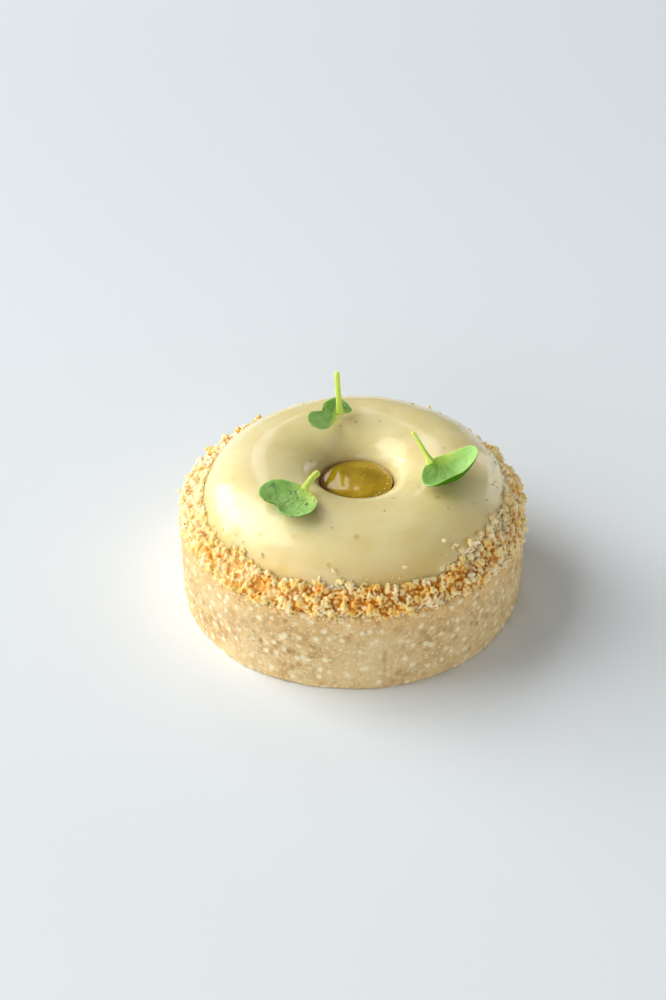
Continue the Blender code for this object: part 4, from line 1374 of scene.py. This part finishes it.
def leaf_form(p, q, leaf, pressed, seed):
    """Leaf coordinates in mm. Along: the disc stretched to the length, less the notch and shoulder,
    skewed by q. Across: half the width times q. Up: squares of p and q for cup, curls and belly."""
    tip = np.clip(p, 0.0, None) ** 2
    along = leaf["length"] * (0.5 + 0.5 * p) - leaf["notch"] * tip * bell(q, 0.0, 0.28)
    along = along - leaf["shoulder"] * np.clip(-p, 0.0, None) ** 2 * (1.0 - bell(q, 0.0, 0.3))
    along = along * (1.0 + leaf["skew"] * q)
    across = 0.5 * leaf["width"] * q * (1.0 + 0.12 * p)
    right_curl, left_curl = leaf["edge_curl"]
    up = leaf["cup"] * (q ** 2 + 0.35 * p ** 2) + leaf["fold"] * (np.sqrt(q ** 2 + 0.02) - 0.14)
    up = up + leaf["tip_curl"] * tip - leaf["belly"] * (1.0 - p ** 2 - q ** 2)
    up = up + left_curl * np.clip(q, 0.0, None) ** 2 + right_curl * np.clip(-q, 0.0, None) ** 2
    up = up - pressed + layered_noise(on_disc(p, q), [(0.7, 0.16), (0.3, 0.06)], seed)
    up = up + leaf["crumple"] * layered_noise(on_disc(p, q), [(0.25, 0.10), (0.13, 0.06)], seed + 7)
    return np.stack([along, across, up], axis=-1)


def leaf_axes(leaf):
    """Unit directions of a leaf: forward from heading and climb, sideways by roll, and their normal."""
    heading, climb, roll = np.radians([leaf["heading"], leaf["climb"], leaf["roll"]])
    forward = np.array([np.cos(heading) * np.cos(climb), np.sin(heading) * np.cos(climb), np.sin(climb)])
    level = np.array([-np.sin(heading), np.cos(heading), 0.0])
    sideways = level * np.cos(roll) + np.cross(forward, level) * np.sin(roll)
    return np.array([forward, sideways, np.cross(forward, sideways)])


print("veins on a leaf:", len(VEINS))

# %% [markdown]
# Two sheets a little apart, joined round the edge, make the leaf solid. Its middle surface is first
# kept off the ring, so that no leaf cuts into the glaze.

# %% Cress leaves, two sheets and an edge
LEAF_CELLS = 84
SMALL_LEAF_WIDTH = 8.0
SMALL_LEAF_CELLS = 0.4
LEAF_THICKNESS = 0.45 * MM
LEAF_CLEARANCE = 0.5 * MM
VEIN_PRESS = 0.10
CREASE_PRESS = 0.30


def leaf_sheets(leaf, seed):
    """The leaf's middle surface kept off the ring, and two sheets either side of it that thin out
    towards the edge, joined round the edge by a strip."""
    cells = int(LEAF_CELLS * (1.0 if leaf["width"] > SMALL_LEAF_WIDTH else SMALL_LEAF_CELLS))
    line = np.linspace(-1.0, 1.0, cells + 1)
    x, y = np.meshgrid(line, line, indexing="ij")
    p = x * np.sqrt(1.0 - 0.5 * y ** 2)
    q = y * np.sqrt(1.0 - 0.5 * x ** 2)
    veins = leaf_veins(p, q, seed)
    creases = leaf_creases(p, q, leaf["crumple"], seed)
    form = leaf_form(p, q, leaf, VEIN_PRESS * veins + CREASE_PRESS * creases, seed)
    middle = (np.array(leaf["root"]) + form @ leaf_axes(leaf)) * MM
    floor_height = mousse_height(middle[..., 0], middle[..., 1]) + LEAF_CLEARANCE
    middle[..., 2] = np.maximum(middle[..., 2], floor_height)
    normal = np.cross(np.gradient(middle, axis=0), np.gradient(middle, axis=1))
    normal /= np.maximum(np.linalg.norm(normal, axis=-1, keepdims=True), 1e-12)
    edge = np.clip(p ** 2 + q ** 2, 0.0, 1.0)
    half = 0.5 * LEAF_THICKNESS * (0.25 + 0.75 * np.sqrt(1.0 - edge ** 4))[..., None]
    points = np.stack([middle + normal * half, middle - normal * half]).reshape(-1, 3)
    side = cells + 1
    index = np.arange(side * side).reshape(side, side)
    upper = grid_faces(side, side, wrap=False)
    lower = upper[:, ::-1] + side * side
    border = np.concatenate([index[:-1, 0], index[-1, :-1], index[:0:-1, -1], index[0, :0:-1]])
    after = np.roll(border, -1)
    strip = np.stack([after, border, border + side * side, after + side * side], axis=-1)
    masks = {"vein": veins, "crease": creases, "edge": edge, "along": 0.5 + 0.5 * p}
    masks = {key: np.concatenate([value.ravel()] * 2) for key, value in masks.items()}
    masks["under"] = np.repeat([0.0, 1.0], side * side)
    return points, np.concatenate([upper, lower, strip]), masks


print("a large leaf has %d cells a side" % LEAF_CELLS)

# %% [markdown]
# A cress stem is a watery tube, pale green, as thick as a match. Its radius flares where it runs
# into the leaf, and it bows slightly under its own weight. Rings of points carried along the bowed
# line make the tube, with a rounded cap at both ends.

# %% Cress stems, their shape
STEM_SIDES = 28
STEM_RINGS = 46


def stem_tube(stem, seed):
    """Rings about a line from foot to tip with a bow of four times share times what is left. Their
    radius runs evenly from foot to tip, with a flare at the foot that dies out as a square."""
    foot, tip, bow = (np.array(stem[key]) * MM for key in ("foot", "tip", "bow"))
    flared, slim_foot, slim_tip = stem["radius"]
    share = np.linspace(0.0, 1.0, STEM_RINGS)[:, None]
    line = foot + (tip - foot) * share + bow * 4.0 * share * (1.0 - share)
    slim = slim_foot + (slim_tip - slim_foot) * share
    radius = (slim + (flared - slim) * np.clip(1.0 - share / 0.3, 0.0, 1.0) ** 2) * MM
    radius = radius * np.sqrt(np.clip(1.0 - (np.abs(share - 0.5) * 2.0) ** 24, 0.02, 1.0))
    way = np.gradient(line, axis=0)
    way /= np.linalg.norm(way, axis=-1, keepdims=True)
    first = np.cross(way, (1.0, 0.0, 0.0))
    first /= np.linalg.norm(first, axis=-1, keepdims=True)
    second = np.cross(way, first)
    turn = full_round(STEM_SIDES)
    ribs = 1.0 + 0.05 * np.cos(5.0 * turn + seed) + 0.03 * np.cos(9.0 * turn)
    spokes = first[:, None] * np.cos(turn)[:, None] + second[:, None] * np.sin(turn)[:, None]
    rings = line[:, None] + spokes * (radius * ribs)[..., None]
    points, face_sets = closed_tube(rings, line[0], line[-1], upward=True)
    return points, face_sets, np.concatenate([np.repeat(share.ravel(), STEM_SIDES), [0.0, 1.0]])


print("stem rings:", STEM_RINGS)

# %% [markdown]
# Leaf and stem share one fresh, satin skin. The upper face is mid green with paler veins, a painted
# highlight along the edge and painted shade in the creases. The under face is painted deeper as
# shade, and both lighten where the leaf meets the stem. Sunlight passes a little way in, so a
# subsurface share keeps the thin edges from looking like paper.

# %% Cress, its material
LEAF_GREEN = (0.29, 0.52, 0.12)
LEAF_LIGHT = (0.38, 0.62, 0.21)
VEIN_GREEN = (0.50, 0.74, 0.20)
# Painted highlight along the leaf's edge.
EDGE_HIGHLIGHT_GREEN = (0.55, 0.74, 0.22)
# Painted shade in the creases.
CREASE_SHADE_GREEN = (0.03, 0.12, 0.01)
UNDER_SHADE_GREEN = (0.05, 0.20, 0.001)
STEM_GREEN = (0.78, 0.90, 0.18)
TINTS = (("vein", 0.45, VEIN_GREEN), ("rim", 0.6, EDGE_HIGHLIGHT_GREEN), ("crease", 0.95, CREASE_SHADE_GREEN))
UPPER_COAT = 0.22

cress, tree, shader = new_material(
    "fresh_cress", Roughness=0.5, Specular_IOR_Level=0.06, Subsurface_Weight=0.5,
    Subsurface_Radius=(0.5, 1.0, 0.2), Subsurface_Scale=0.001, Coat_Roughness=0.3)
at = place(tree)
under = attribute(tree, "under")
colour = mottled(tree, at, 330.0, 0.2, LEAF_GREEN, LEAF_LIGHT)
for mask, strength, tone in TINTS:
    colour = tint(tree, attribute(tree, mask), strength, tone, colour)
# Painted shade: the under face is a darker green.
colour = blend(tree, under, colour, UNDER_SHADE_GREEN)
join(tree, shader.inputs["Base Color"], blend(tree, attribute(tree, "stalk"), colour, STEM_GREEN))
join(tree, shader.inputs["Coat Weight"], between(tree, under, 0.0, 1.0, UPPER_COAT, 0.0))
rough_skin(tree, shader, at, 1300.0, 1500.0, 0.2, strength=0.25, depth=0.0002)
print("cress finish:", cress.name)

# %% [markdown]
# Each sprig is now its leaves and its stem. A leaf carries the masks of its veins, creases, under
# face and edge, and turns pale towards the stem. A stem has none of them, and is pale all over.

# %% Cress, its pieces
for number, (name, sprig) in enumerate(SPRIGS.items()):
    pieces = []
    for leaf_number, leaf in enumerate(sprig["leaves"]):
        points, faces, masks = leaf_sheets(leaf, 100 + 10 * number + leaf_number)
        stalk = (1.0 - ease(masks["along"], 0.0, 0.28)) * 0.6
        pieces.append(make_piece("%s_leaf_%d" % (name, leaf_number), points, [faces], cress, "cress",
                                 vein=masks["vein"], crease=masks["crease"], under=masks["under"],
                                 rim=ease(masks["edge"], 0.93, 1.0), stalk=stalk))
    points, face_sets, share = stem_tube(sprig["stem"], number)
    no_mask = 0.0 * share
    pieces.append(make_piece(name + "_stem", points, face_sets, cress, "cress", vein=no_mask,
                             crease=no_mask, under=no_mask, rim=no_mask, stalk=0.75 + 0.25 * share))
    for piece in pieces:
        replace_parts(piece, name)

# %% Sizes and finish
boxes = {"cad": cad_box, "visual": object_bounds()}
for name, (low, high) in boxes.items():
    print(name, [round((high[axis] - low[axis]) / MM, 1) for axis in range(3)], "mm")
